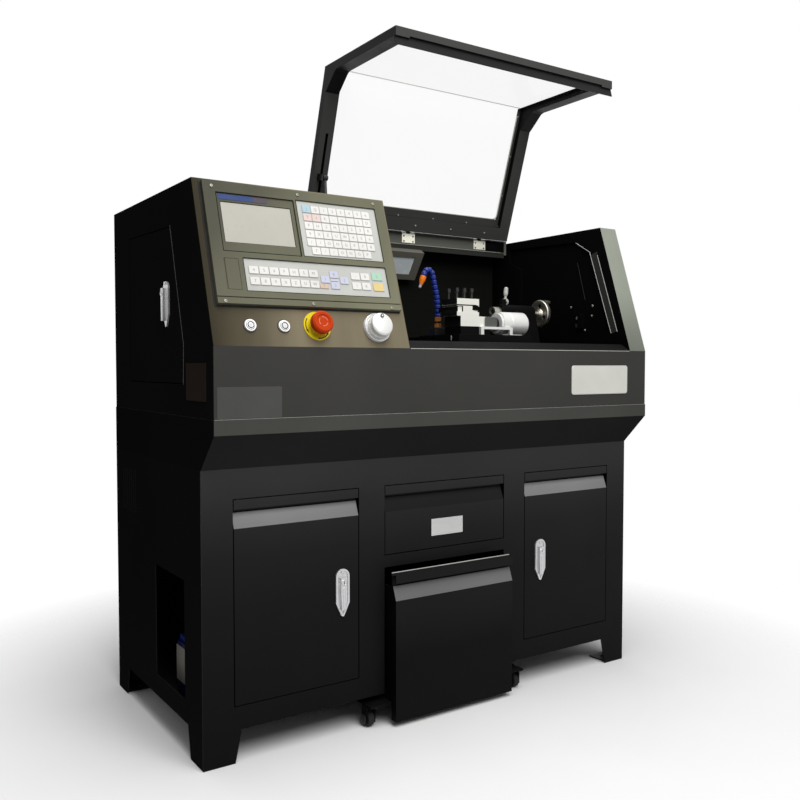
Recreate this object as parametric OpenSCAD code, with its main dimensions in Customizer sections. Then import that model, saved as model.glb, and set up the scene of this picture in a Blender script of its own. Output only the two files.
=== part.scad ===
// Cabinet-mounted mini CNC lathe with a hinged clear guard.
// Millimetres, +Z up, +X to the operator's right, the operator stands on the -Y side.
// Inside the modules X runs from the left side panel and Y from the front plate of the base
// cabinet; placed() then moves the origin to the middle of the footprint, on the floor.

/* [Cabinet] */
// Width over the side panels
width = 1160; // [1100:5:1300]
// Depth from the front plate to the rear cover
depth = 547; // [535:1:640]
// Height of the base cabinet, up to the chip tray
base_h = 577; // [560:1:640]
// Clear height under the base cabinet
foot_h = 65; // [60:1:90]
// Sheet metal thickness
sheet = 2; // [1.5:0.5:2.5]
// Width of the front stiles
stile_w = 64; // [56:1:72]
// Width of each cupboard opening
cupboard_w = 284; // [260:1:300]
// Height of the rail under the cupboard doors
low_rail_h = 46; // [40:1:60]
// Height of the rail over the doors and the drawer
top_rail_h = 59; // [50:1:70]
// Height of the drawer opening
drawer_open_h = 152; // [130:1:170]
// Thickness of doors and drawer fronts
front_t = 18; // [16:1:22]
// Gap round doors and drawer fronts
front_gap = 2; // [1.5:0.5:3]

/* [Chip tray and upper housing] */
// How far the chip tray stands out in front of the base
tray_out = 68; // [55:1:80]
// Height of the sloping underside of the tray
tray_slope_h = 70; // [60:1:80]
// Height of the upright rim of the tray
tray_rim_h = 29; // [24:1:36]
// Height of the upright front panel
panel_h = 135; // [125:1:150]
// Height of the whole machine with the guard closed
top_h = 1132; // [1115:1:1180]
// Where the slanted front meets the top, behind the base front
slant_top_y = 38; // [30:1:50]
// Width of the control box
control_w = 432; // [425:1:450]
// Width of the hollow right-hand wall
right_wall_w = 57; // [50:1:70]
// Distance from the base front to the front of the hinge beam
beam_y = 408; // [404:1:416]
// Distance from the base front to the rear wall of the work space
rear_wall_y = 470; // [465:1:480]
// Height of the hinge beam
beam_h = 34; // [30:1:40]

/* [Guard] */
// Width of the guard frame bars
bar_w = 36; // [30:1:40]
// Thickness of the guard frame bars
bar_t = 20; // [16:1:22]
// Opening angle shown, from closed
guard_open = 72; // [0:0.5:80]
// Distance of the guard's lower edge above the front panel, along the slant
guard_tip = 34; // [30:1:50]
// Thickness of the clear window
window_t = 3; // [2:0.5:4]
// Gap between the guard and the walls beside it
guard_gap = 2; // [1:1:6]

/* [Machine] */
// Height of the spindle axis
spindle_z = 914; // [908:1:925]
// Distance of the spindle axis behind the base front
spindle_y = 190; // [185:1:195]
// Height of the top of the bed
bed_top = 790; // [785:1:795]
// Width of the bed
bed_w = 180; // [170:1:190]
// Diameter of the chuck
chuck_d = 100; // [80:1:100]
// Bore through the spindle
spindle_bore = 26; // [20:1:30]
// Length of the saddle along the bed
saddle_l = 240; // [220:1:250]
// Diameter of the drilling head
drill_d = 58; // [56:1:70]
// Diameter of the tailstock handwheel
tail_wheel_d = 74; // [65:1:85]

/* [Controls] */
// Width of the controller front
bezel_w = 405; // [403:1:410]
// Thickness of the controller front
bezel_t = 10; // [8:1:14]
// Diameter of the emergency stop cap
estop_d = 45; // [40:1:48]
// Diameter of the hand dial
dial_d = 48; // [44:1:52]

/* [Chip cart and drawer] */
// Width of the cart box
cart_w = 326; // [310:1:328]
// How far the cart is pulled out
cart_out = 37; // [20:1:60]
// Diameter of the castor wheels
castor_d = 34; // [30:1:36]
// Depth of the cart box
cart_depth = 430; // [380:1:450]
// Depth of the drawer box
drawer_depth = 360; // [300:1:400]

/* [Hidden] */
$fn = 48;
eps = 0.01;                  // overlap that only makes a cut clean
run = 0.05;                  // radial running clearance of shafts and pins
seat = 0.3;                  // gap between neighbours that only rest or slide past each other

// Base cabinet, left to right
left_open_x = stile_w;
bay_x = left_open_x + cupboard_w + stile_w;
bay_w = width - 2 * bay_x;
right_open_x = width - stile_w - cupboard_w;
door_z = foot_h + low_rail_h;
door_top = base_h - top_rail_h;
door_h = door_top - door_z - 2 * front_gap;
drawer_z = door_top - drawer_open_h;
divider_h = 26;
foot_top_w = 80;
foot_floor_w = 66;
foot_pad = 60;
foot_pad_t = 3;
foot_bolt_r = 6;
foot_bolt_in = 36;

// Pull recess shared by doors, drawer and cart
pull_strip = 19;
pull_slot = 7;
pull_slope = 30;
pull_depth = 13;

// Upper housing outline
rim_z = base_h + tray_slope_h;
tray_top = rim_z + tray_rim_h;
panel_top = tray_top + panel_h;
seam = 1;                    // the housing sits this far inside the tray rim
front_y = seam - tray_out;
slant_a = atan((slant_top_y - front_y) / (top_h - panel_top));
chamber_x1 = width - right_wall_w;
sill_run = 30;
sill_rise = 17;

// Guard hinge and outline
hinge_y = beam_y + 4;
hinge_z = top_h + 4;
hinge_r = 3.8;
hinge_pin_r = 2;
hinge_w = 42;
hinge_xs = [753, 1001];
guard_x0 = control_w + guard_gap;
guard_end_gap = 14;
guard_x1 = chamber_x1 - guard_end_gap;
guard_top = top_h + 2;
guard_rear = beam_y - 2.5;

// Gas spring: lower pivot on the partition, upper socket on the guard
spring_x = control_w + 25;
spring_w = 12;
spring_low = [313, top_h - 221.5];
spring_top_closed = [-118.3, -38];
spring_tube_l = 158;
spring_pin_r = 4;

// Machine
tail_x = chamber_x1 - 213;
bed_x0 = 290;
bed_x1 = chamber_x1 - 43;
bed_y0 = spindle_y + 5 - bed_w / 2;
bed_y1 = bed_y0 + bed_w;
bed_z0 = 692;
head_x0 = 300;
head_x1 = control_w + 6;
spindle_r = 25;
chuck_x = 452;
chuck_l = 55;
chuck_r = chuck_d / 2;
jaw_w = 12;
jaw_in = 14;
saddle_x0 = tail_x - 250;
saddle_t = 25;
saddle_z = bed_top + seat;
slide_z = saddle_z + saddle_t;
slide_t = 33;
slide_top = slide_z + seat + slide_t;
slide_x0 = saddle_x0 + 15;
slide_w = 226;
slide_y0 = 54;
slide_l = 161;
gang_y0 = slide_y0 + 6;
rail_x = saddle_x0 + 120;
z_screw_y = bed_y0 - 15;
z_screw_z = 775;
z_screw_r = 8;
x_screw_z = slide_z + 6;
x_screw_r = 4;
motor_y = 370;
motor_z = 800;
pulley_x = 228;
pulley_w = 26;
pulley_r = 45;
motor_pulley_r = 32;
belt_t = 4;
tail_l = 111;
tail_r = 20;
quill_r = 13;
quill_bore_r = 7;
tail_wheel_x = tail_x + 140;
drill_x = slide_x0 + 140;
drill_l = 86;
drill_y = gang_y0 + drill_d / 2;
drill_z = slide_top + drill_d / 2;

// Where the origin lies
estop_h = 30;
estop_x = 220;
estop_s = 43;
latch_out = 11;
estop_edge = 3;
estop_travel = 4;
estop_stem_r = 11;
estop_disc_r = 29.5;
estop_collar = 7.5;
front_reach = -front_y + estop_h * cos(slant_a) + (estop_d / 2 - estop_edge - estop_s) * sin(slant_a);
middle_x = (width - latch_out) / 2;
middle_y = (depth - front_reach) / 2;

// ---------- helpers ----------

// Moves a piece from cabinet coordinates to the part's own origin.
module placed() { translate([-middle_x, -middle_y, 0]) children(); }

// A block from one corner to the opposite one.
module block(a, b) { translate(a) cube(b - a); }

// An outline given as [y, z], carried along X from x0 to x1.
module along_x(x0, x1) { translate([x0, 0, 0]) rotate([90, 0, 90]) linear_extrude(x1 - x0) children(); }

// An outline given as [x, z], carried along Y from y0 to y1.
module along_y(y0, y1) { translate([0, y1, 0]) rotate([90, 0, 0]) linear_extrude(y1 - y0) children(); }

// A cylinder along X, from x0 to x1, about the line y, z.
module shaft_x(x0, x1, y, z, r) { translate([x0, y, z]) rotate([0, 90, 0]) cylinder(r = r, h = x1 - x0); }

// A cylinder along Y, from y0 to y1, about the line x, z.
module shaft_y(y0, y1, x, z, r) { translate([x, y1, z]) rotate([90, 0, 0]) cylinder(r = r, h = y1 - y0); }

// Local frame of the slanted front: x as before, y up the slant from the front panel, z outwards.
module on_slant() { translate([0, front_y, panel_top]) rotate([90 - slant_a, 0, 0]) children(); }

// Outline of a front with its finger pull: w is the front's thickness, h its height.
function pull_outline(w, h) = let (strip = h - pull_strip, slot = strip - pull_slot)
  [[0, 0], [0, slot - pull_slope], [pull_depth - 2, slot], [pull_depth, slot + 2],
   [pull_depth, h - 4], [sheet, h - 4], [sheet, strip], [0, strip], [0, h], [w, h], [w, 0]];

// A folded front of width w and height h: finger pull above, open pan behind.
module pull_front(w, h) {
  difference() {
    along_x(0, w) polygon(pull_outline(front_t, h));
    block([sheet, sheet, sheet], [w - sheet, front_t + eps, h - pull_strip - pull_slot - pull_slope - 4]);
  }
}

// ---------- base cabinet ----------

// One front foot and the floor pad behind it; mirrored for the right side.
module front_foot() {
  along_y(0, sheet) polygon([[0, foot_h], [foot_top_w, foot_h], [foot_floor_w, 0], [0, 0]]);
  foot_floor_pad(0);
}

// Floor pad of a foot with its anchor hole; y is the near edge of the pad.
module foot_floor_pad(y) {
  difference() {
    block([sheet, y + sheet, 0], [foot_pad, y + foot_pad, foot_pad_t]);
    translate([foot_bolt_in, y + foot_bolt_in, -1]) cylinder(r = foot_bolt_r, h = foot_pad_t + 2);
  }
}

// A folded return round a door opening, behind the front plate, with the two hinge pins.
module door_surround(x, hinge_x) {
  difference() {
    block([x - sheet, sheet, door_z - sheet], [x + cupboard_w + sheet, front_t + 4, door_top + sheet]);
    block([x, 0, door_z], [x + cupboard_w, front_t + 5, door_top]);
  }
  for (z = [door_z - sheet, door_top - door_pin_in])
    translate([hinge_x, door_pin_y, z]) cylinder(r = door_pin_r, h = door_pin_in + sheet);
}
door_pin_r = 2.5;
door_pin_y = 5;
door_pin_in = 12;
door_pin_x = 11;

module base_front_frame() {
  color([0.12, 0.12, 0.13]) placed() {
    difference() {
      block([0, 0, foot_h], [width, sheet, base_h]);
      block([left_open_x, -1, door_z], [left_open_x + cupboard_w, 3 * sheet, door_top]);
      block([right_open_x, -1, door_z], [right_open_x + cupboard_w, 3 * sheet, door_top]);
      block([bay_x, -1, drawer_z], [bay_x + bay_w, 3 * sheet, door_top]);
      block([bay_x, -1, foot_h - 1], [bay_x + bay_w, 3 * sheet, drawer_z - divider_h]);
    }
    door_surround(left_open_x, left_open_x + door_pin_x);
    door_surround(right_open_x, right_open_x + cupboard_w - door_pin_x);
    front_foot();
    translate([width, 0, 0]) mirror([1, 0, 0]) front_foot();
  }
}

window_y = [95, 269];
window_z = [110, 350];
vent_y0 = 398;
vent_z0 = base_h - 137;
vent_slots = 7;
vent_pitch = 15;
vent_slot = [5, 100];

// Upright ventilation slots cut through a side panel.
module side_vent() {
  for (i = [0 : vent_slots - 1])
    block([-1, vent_y0 + i * vent_pitch, vent_z0],
          [sheet + 1, vent_y0 + i * vent_pitch + vent_slot[0], vent_z0 + vent_slot[1]]);
}

// A side panel of the base with its two foot tabs, shown for the left side.
module base_side() {
  difference() {
    along_x(0, sheet) polygon([[sheet, base_h], [sheet, 0], [foot_floor_w, 0], [foot_top_w, foot_h],
      [depth - foot_top_w, foot_h], [depth - foot_floor_w, 0], [depth, 0], [depth, base_h]]);
    side_vent();
  }
}

module base_wrap() {
  color([0.1, 0.1, 0.11]) placed() {
    difference() {
      base_side();
      block([-1, window_y[0], window_z[0]], [sheet + 1, window_y[1], window_z[1]]);
    }
    translate([width, 0, 0]) mirror([1, 0, 0]) base_side();
    difference() {
      block([sheet, depth - sheet, foot_h], [width - sheet, depth, base_h]);
      for (x = [left_open_x + 60, right_open_x + 60], i = [0 : vent_slots - 1])
        block([x + i * 2 * vent_pitch, depth - sheet - 1, vent_z0],
              [x + i * 2 * vent_pitch + vent_slot[0], depth + 1, vent_z0 + vent_slot[1]]);
    }
    rear_foot();
    translate([width, 0, 0]) mirror([1, 0, 0]) rear_foot();
  }
}

// Rear foot tab and its floor pad.
module rear_foot() {
  along_y(depth - sheet, depth)
    polygon([[sheet, foot_h], [foot_top_w, foot_h], [foot_floor_w, 0], [sheet, 0]]);
  translate([0, depth, 0]) mirror([0, 1, 0]) foot_floor_pad(0);
}

shelf_z = drawer_z - divider_h + 8;
runner_z = drawer_z + 46;
runner_w = 9;

module base_inner_panels() {
  color([0.13, 0.13, 0.14]) placed() {
    for (x = [bay_x - sheet, bay_x + bay_w])
      block([x, front_t + 6, foot_h], [x + sheet, depth - sheet, base_h]);
    block([sheet, front_t + 6, foot_h], [bay_x - sheet, depth - sheet, foot_h + sheet]);
    block([bay_x + bay_w + sheet, front_t + 6, foot_h], [width - sheet, depth - sheet, foot_h + sheet]);
    block([bay_x, front_t + 6, shelf_z], [bay_x + bay_w, depth - sheet, shelf_z + sheet]);
    // ledge runners for the drawer
    block([bay_x, front_t + 6, runner_z - sheet], [bay_x + runner_w, drawer_depth + 60, runner_z]);
    block([bay_x + bay_w - runner_w, front_t + 6, runner_z - sheet],
          [bay_x + bay_w, drawer_depth + 60, runner_z]);
  }
}

// ---------- chip tray and upper housing ----------

module chip_tray() {
  color([0.2, 0.2, 0.19]) placed() difference() {
    along_x(0, width) polygon([[0, base_h], [-tray_out, rim_z], [-tray_out, tray_top],
      [depth, tray_top], [depth, base_h]]);
    along_x(sheet, width - sheet) polygon([[sheet, base_h + sheet], [sheet - tray_out, rim_z + sheet / 2],
      [sheet - tray_out, tray_top + 1], [depth - sheet, tray_top + 1], [depth - sheet, base_h + sheet]]);
  }
}

module front_panel() {
  color([0.25, 0.25, 0.24]) placed() {
    block([seam, seam - tray_out, tray_top], [width - seam, seam + sheet - tray_out, panel_top]);
    // folded sill along the front opening, with its drip edge inside
    along_x(control_w, chamber_x1) polygon([[seam - tray_out, panel_top],
      [sill_run - tray_out, panel_top + sill_rise], [sill_run - tray_out, panel_top - 12],
      [sill_run - sheet - tray_out, panel_top - 12],
      [sill_run - sheet - tray_out, panel_top + sill_rise - 3.5],
      [seam + sheet - tray_out, panel_top - 1]]);
  }
}

// Outline of the upper housing seen from the side, between the tray and the top.
function housing_outline(in = 0) = let (y = front_y + sheet + in, run_in = in / cos(slant_a),
  t = tan(slant_a))
  concat([[y, tray_top + in]],
    in == 0 ? [[y, panel_top], [front_y, panel_top]] : [[y, panel_top + (sheet + in - run_in) / t]],
    [[slant_top_y + run_in - in * t, top_h - in], [depth - sheet - in, top_h - in],
     [depth - sheet - in, tray_top + in]]);

side_door_z = [panel_top - 72, top_h - 71];
side_door_mid = (side_door_z[0] + side_door_z[1]) / 2;
side_door_outline = [[432, side_door_z[1]], [160, side_door_z[1] - 6], [88, side_door_z[0] + 78],
  [91, side_door_z[0]], [428, side_door_z[0]]];
// The same outline with its edge moved inwards all round, which leaves the gap round the door.
function shrunk(points, d) = let (c = [260, side_door_mid]) [for (p = points) let (v = p - c)
  c + v * (1 - d * 1.25 / norm(v))];

module control_box_shell() {
  color([0.3, 0.3, 0.27]) placed() {
    // left side with the opening for the side door
    difference() {
      along_x(seam, seam + sheet) polygon(housing_outline());
      along_x(-1, seam + sheet + 1) polygon(side_door_outline);
    }
    // slanted front and top
    along_x(seam + sheet, control_w) polygon([[seam - tray_out, panel_top], [slant_top_y, top_h],
      [depth - sheet, top_h], [depth - sheet, top_h - sheet], [slant_top_y + sheet, top_h - sheet],
      [seam + sheet - tray_out, panel_top]]);
    // partition to the work space, with the holes for the headstock and the screw
    difference() {
      along_x(control_w - sheet, control_w) polygon(housing_outline(sheet / 2));
      block([control_w - 3 * sheet, bed_y0 - 6, bed_z0 - 3],
            [control_w + sheet, bed_y1 + 6, spindle_z + 90]);
      shaft_x(control_w - 3 * sheet, control_w + sheet, z_screw_y, z_screw_z, 14);
    }
    // pins of the side door, and the lower stud of the gas spring
    for (z = [side_hinge_z0 - 10, side_hinge_z1 - side_pin_in])
      translate([side_hinge_x, side_hinge_y, z]) cylinder(r = side_pin_r, h = 10 + side_pin_in);
    for (z = [side_hinge_z0 - 10, side_hinge_z1])
      block([seam + sheet - eps, side_hinge_y - 4, z], [side_hinge_x + 4, side_hinge_y + 4, z + 10]);
    shaft_x(control_w - sheet, spring_x + spring_w / 2 + 2, spring_low[0], spring_low[1], spring_pin_r);
  }
}
side_hinge_x = 8;
side_hinge_y = 420;
side_pin_r = 2.5;
side_pin_in = 20;
side_hinge_z0 = side_door_z[0] - 2;
side_hinge_z1 = side_door_z[1] + 2;

recess_outline = [[393, top_h - 20], [122, top_h - 28], [71, top_h - 59], [-3, panel_top + 49],
  [343, panel_top + 49], [343, top_h - 82], [393, top_h - 57]];

recess_depth = 6;
beam_lip = 6.5;
right_skin = 8;
interlock = [95, 873, 109, 912];

module right_wall_box() {
  color([0.16, 0.16, 0.16]) placed() {
    difference() {
      along_x(chamber_x1, width - seam) polygon(housing_outline());
      along_x(chamber_x1 + right_skin, width - seam - sheet) polygon(housing_outline(sheet));
      along_x(chamber_x1 - 1, chamber_x1 + recess_depth) polygon(recess_outline);
    }
    // interlock switch that the closed guard works
    block([chamber_x1 - 8, interlock[0], interlock[1]],
          [chamber_x1 + recess_depth + 1, interlock[2], interlock[3]]);
  }
}

rear_vent_z0 = top_h - 172;

module rear_housing() {
  color([0.12, 0.12, 0.12]) placed() {
    difference() {
      block([seam, depth - sheet, tray_top], [width - seam, depth - seam, top_h]);
      for (x = [90, 250, 760, 920], i = [0 : vent_slots - 1])
        block([x + i * vent_pitch, depth - 2 * sheet, rear_vent_z0],
              [x + i * vent_pitch + vent_slot[0], depth + 1, rear_vent_z0 + vent_slot[1]]);
    }
    // top cover, hinge beam and the rear wall of the work space, folded as one box
    along_x(control_w, chamber_x1) polygon([[beam_y, top_h], [depth - sheet, top_h],
      [depth - sheet, top_h - sheet], [rear_wall_y + sheet, top_h - sheet], [rear_wall_y + sheet, tray_top],
      [rear_wall_y, tray_top], [rear_wall_y, top_h - beam_h], [beam_y, top_h - beam_h]]);
    // raised lip along the beam, notched for the hinge knuckles
    difference() {
      block([control_w, beam_y, top_h - sheet / 2], [chamber_x1, beam_y + 30, top_h + beam_lip]);
      for (x = hinge_xs)
        block([x - hinge_w / 2 - 1, beam_y - 1, top_h - sheet],
              [x + hinge_w / 2 + 1, beam_y + 31, top_h + beam_lip + 1]);
    }
  }
}

// Knuckle of a guard hinge between x0 and x1, with the bore for its pin.
module knuckle(x0, x1, bore_r) {
  difference() {
    shaft_x(x0, x1, hinge_y, hinge_z, hinge_r);
    shaft_x(x0 - 1, x1 + 1, hinge_y, hinge_z, bore_r);
  }
}
knuckle_w = 14;

module lid_hinges() {
  color([0.75, 0.75, 0.74]) placed() for (x = hinge_xs) {
    for (end = [x - hinge_w / 2, x + hinge_w / 2 - knuckle_w]) {
      knuckle(end, end + knuckle_w, hinge_pin_r - eps);
      block([end, beam_y, top_h], [end + knuckle_w, hinge_y - 2.5, hinge_z - 1]);
    }
    shaft_x(x - hinge_w / 2, x + hinge_w / 2, hinge_y, hinge_z, hinge_pin_r);
    block([x - hinge_w / 2, beam_y - 1.5, top_h - 24], [x + hinge_w / 2, beam_y, top_h + 1]);
  }
}

// ---------- controls on the slanted front ----------

bezel_x = 17;
bezel_s = [80, 330];
screen_win = [49, 205, 198, 289];
screen_frame = [42, 186, 206, 307];
keypad_win = [212, 187, 399, 309];
strip_win = [79, 107, 399, 174];
memory_win = [40, 108, 69, 171];
key_sink = 3;

// A straight pocket in the bezel between two corners [x0, s0, x1, s1], down to height z.
module pocket(w, z) { block([w[0], w[1], z], [w[2], w[3], bezel_t + 1]); }

module controller_bezel() {
  color([0.4, 0.4, 0.35]) placed() on_slant() difference() {
    block([bezel_x, bezel_s[0], 0], [bezel_x + bezel_w, bezel_s[1], bezel_t]);
    pocket(screen_frame, bezel_t - 2);
    pocket(screen_win, bezel_t - 5);
    pocket(keypad_win, bezel_t - key_sink);
    pocket(strip_win, bezel_t - key_sink);
    pocket(memory_win, 1);
    // hinge pin sockets of the memory door
    translate([memory_pin[0], memory_win[1] - 3, memory_pin[1]]) rotate([-90, 0, 0])
      cylinder(r = 1 + run, h = memory_win[3] - memory_win[1] + 6);
    // shadow line above the lower band
    block([bezel_x - 1, bezel_s[0] + 12, bezel_t - 2],
          [bezel_x + bezel_w + 1, bezel_s[0] + 14, bezel_t + 1]);
  }
}

module screen_glass() {
  color([0.8, 0.79, 0.74]) placed() on_slant()
    block([screen_win[0], screen_win[1], bezel_t - 5], [screen_win[2], screen_win[3], bezel_t - 3]);
}

key_cols = 8;
key_rows = 6;
key_pitch = [20, 18.2];
key_size = [17.5, 15];
strip_pitch = [21.3, 22.5];

// One grid of raised keys from its lower left corner.
module key_grid(at, cols, rows, pitch, size, h) {
  translate([0, 0, h]) linear_extrude(0.8) for (i = [0 : cols - 1], j = [0 : rows - 1])
    translate([at[0] + i * pitch[0], at[1] + j * pitch[1]]) square(size);
}

module membrane_keys() {
  face = bezel_t - key_sink + 1;
  color([0.88, 0.89, 0.87]) placed() on_slant() {
    for (w = [keypad_win, strip_win])
      block([w[0], w[1], bezel_t - key_sink], [w[2], w[3], face]);
    key_grid([225, 211.5], key_cols, key_rows - 1, key_pitch, key_size, face);
    key_grid([233, 193.3], key_cols - 1, 1, key_pitch, key_size, face);
    key_grid([89, 121], 7, 2, strip_pitch, [18.5, 14.5], face);
    // arrow cross with the rapid key at its lower left
    key_grid([242, 133], 2, 1, [44, 14], [18, 13.5], face);
    key_grid([263.5, 121], 1, 2, [18, 23.5], [18, 13.5], face);
    key_grid([238, 121], 1, 1, [17, 9], [17, 9], face);
    key_grid([313, 122.5], 2, 2, [23, 21.3], [19.5, 14.5], face);
    key_grid([363, 121.5], 1, 2, [24, 23.5], [24, 16.5], face);
  }
}

button_xs = [78, 148];
button_s = 41;
button_r = 9;
dial_x = 357;
dial_s = 42;

module panel_rings() {
  color([0.7, 0.7, 0.68]) placed() on_slant() {
    for (x = button_xs) translate([x, button_s, 0]) difference() {
      cylinder(r1 = 12.5, r2 = 11.5, h = 4);
      translate([0, 0, -1]) cylinder(r = button_r + seat, h = 6);
    }
    translate([estop_x, estop_s, 0]) rotate_extrude() polygon([[estop_stem_r + run, 0], [estop_disc_r, 0],
      [estop_disc_r, 2], [estop_stem_r + 3, 2], [estop_stem_r + 3, estop_collar],
      [estop_stem_r + run, estop_collar]]);
    translate([dial_x, dial_s, 0]) difference() {
      cylinder(r = 30, h = 8);
      translate([0, 0, 2]) cylinder(r = 8 + run, h = 7);
    }
  }
}

// A push button that stands on the sheet inside its ring.
module push_button(x) {
  translate([x, button_s, button_travel]) rotate_extrude() polygon([[0, 0], [button_r, 0], [button_r, 2],
    [button_r - 1, 3], [0, 3]]);
}
button_travel = 2.5;

module start_button() { color([0.85, 0.85, 0.83]) placed() on_slant() push_button(button_xs[0]); }
module stop_button() { color([0.85, 0.85, 0.83]) placed() on_slant() push_button(button_xs[1]); }

module estop_cap() {
  r = estop_d / 2;
  color([0.9, 0.22, 0.12]) placed() on_slant() translate([estop_x, estop_s, 0])
    rotate_extrude() polygon([[0, estop_travel + seat], [estop_stem_r, estop_travel + seat],
      [estop_stem_r, 12], [r - 3, 12], [r, 16], [r, estop_h - estop_edge], [r - estop_edge, estop_h],
      [r - 8, estop_h], [r - 9, estop_h - 1.5], [0, estop_h - 1.5]]);
}

module hand_dial() {
  r = dial_d / 2;
  color([0.8, 0.8, 0.8]) placed() on_slant() translate([dial_x, dial_s, 0]) {
    rotate_extrude() polygon([[0, 2 + seat], [8, 2 + seat], [8, 8 + seat], [r + 1, 8 + seat],
      [r + 1, 13], [r, 15], [r, estop_h - 4], [r - 2, estop_h - 2], [0, estop_h - 2]]);
    translate([0, r - 7, estop_h - 2]) cylinder(r = 4, h = 3);
  }
}

// Hinge line of the memory door, as [x, height over the sheet].
memory_pin = [memory_win[0] + 4, bezel_t - 3.4];

module memory_door() {
  s0 = memory_win[1] + 0.5;
  s1 = memory_win[3] - 0.5;
  color([0.42, 0.42, 0.37]) placed() on_slant() {
    translate([0, s1, 0]) rotate([90, 0, 0]) linear_extrude(s1 - s0) union() {
      translate(memory_pin) circle(r = 3.4);
      translate([memory_pin[0], bezel_t - 3]) square([memory_win[2] - 0.5 - memory_pin[0], 3]);
    }
    translate([memory_pin[0], s0 - 2.5, memory_pin[1]]) rotate([-90, 0, 0])
      cylinder(r = 1, h = s1 - s0 + 5);
  }
}

// ---------- doors, drawer and cart ----------

// A cupboard door; pin_x is where its hinge pins enter, measured from the door's left edge.
module cupboard_door(x, pin_x) {
  difference() {
    translate([x + front_gap, 0, door_z + front_gap]) union() {
      pull_front(cupboard_w - 2 * front_gap, door_h);
      for (z = [0, door_h - door_pin_in - 3])
        block([pin_x - 6, 1, z + eps], [pin_x + 6, front_t - 1, z + door_pin_in + 3 - 2 * eps]);
    }
    for (z = [door_z - 1, door_top - door_pin_in - 1])
      translate([x + front_gap + pin_x, door_pin_y, z]) cylinder(r = door_pin_r + run, h = door_pin_in + 2);
    // hole for the latch spindle
    shaft_y(-1, front_t + 1, latch_x(x), latch_z, latch_shaft_r + run);
  }
}
function latch_x(x) = x == left_open_x ? x + 242 : x + cupboard_w - 234;
latch_z = 300;
latch_shaft_r = 6;
cam_l = 58;

module left_door() {
  color([0.11, 0.11, 0.12]) placed() cupboard_door(left_open_x, door_pin_x - front_gap);
}
module right_door() {
  color([0.11, 0.11, 0.12]) placed()
    cupboard_door(right_open_x, cupboard_w - door_pin_x - front_gap);
}

// A flush lever latch: dished plate, lever and the short cam behind the door skin.
module lever_latch(x) {
  difference() {
    translate([x, -seat, latch_z]) rotate([90, 0, 0]) linear_extrude(4) latch_plate();
    translate([x, -seat - 2, latch_z]) rotate([90, 0, 0])
      linear_extrude(5) offset(delta = -4) latch_plate();
  }
  translate([x, -seat - 2, latch_z]) rotate([90, 0, 0]) linear_extrude(7)
    polygon([[-7, 34], [7, 34], [7, -2], [5, -34], [-5, -34], [-7, -2]]);
  shaft_y(-seat - 2, front_t + 8, x, latch_z, latch_shaft_r);
  block([x - 8, front_t + 5, latch_z - 10], [x + 8, front_t + 8, latch_z + cam_l]);
}
// Outline of the latch plate: round above, pointed below.
module latch_plate() {
  hull() {
    translate([0, 36]) circle(r = 16, $fn = 32);
    translate([-16, -20]) square([32, 40]);
    translate([0, -44]) circle(r = 4, $fn = 16);
  }
}

module left_door_latch() { color([0.72, 0.72, 0.71]) placed() lever_latch(latch_x(left_open_x)); }
module right_door_latch() { color([0.72, 0.72, 0.71]) placed() lever_latch(latch_x(right_open_x)); }

module side_door() {
  x0 = seam;
  color([0.09, 0.09, 0.09]) placed() difference() {
    union() {
      along_x(x0, x0 + 3) polygon(shrunk(side_door_outline, 2));
      for (z = [side_hinge_z0 + 5, side_hinge_z1 - 27])
        block([x0 + 3 - eps, side_hinge_y - 6, z], [side_hinge_x + 5, side_hinge_y + 4, z + 22]);
    }
    for (z = [side_hinge_z0 - 1, side_hinge_z1 - side_pin_in - 1])
      translate([side_hinge_x, side_hinge_y, z]) cylinder(r = side_pin_r + run, h = side_pin_in + 2);
    shaft_x(x0 - 1, x0 + 4, side_latch_y, side_latch_z, latch_shaft_r + run);
  }
}
side_latch_y = 177;
side_latch_z = side_door_mid - 2;
side_cam_l = 74;

module side_door_latch() {
  color([0.6, 0.6, 0.58]) placed() {
    along_x(-latch_out + 8, seam - seat) translate([side_latch_y, side_latch_z])
      scale(0.92) latch_plate();
    along_x(-latch_out, seam - seat - 2) translate([side_latch_y, side_latch_z])
      polygon([[-6, 34], [6, 34], [6, -2], [5, -32], [-5, -32], [-6, -2]]);
    shaft_x(-seat, seam + 9, side_latch_y, side_latch_z, latch_shaft_r);
    block([seam + 6, side_latch_y - 8, side_latch_z - 10],
          [seam + 9, side_latch_y + 8, side_latch_z + side_cam_l]);
  }
}

drawer_side = 20;

module drawer() {
  x0 = bay_x + drawer_side;
  x1 = bay_x + bay_w - drawer_side;
  z0 = drawer_z + 14;
  z1 = z0 + 94;
  color([0.11, 0.11, 0.12]) placed() {
    translate([bay_x + front_gap, 0, drawer_z + front_gap])
      pull_front(bay_w - 2 * front_gap, drawer_open_h - 2 * front_gap);
    difference() {
      block([x0, front_t, z0], [x1, drawer_depth, z1]);
      block([x0 + sheet, front_t - 1, z0 + sheet], [x1 - sheet, drawer_depth - sheet, z1 + 1]);
    }
    // slides that ride on the ledges of the cabinet
    for (x = [bay_x + seat, x1])
      block([x, front_t + 7, runner_z + seat], [x + drawer_side - seat, drawer_depth, runner_z + 12]);
  }
}

cart_z = 12;
cart_h = 318;
cart_x = (width - cart_w) / 2;
cart_base_x = bay_x - 47;
cart_base_z = castor_d + 12;
castor_x = bay_x - 37;
castor_y = [0, cart_depth - 30];
pin_swivel_r = 4;

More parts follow.
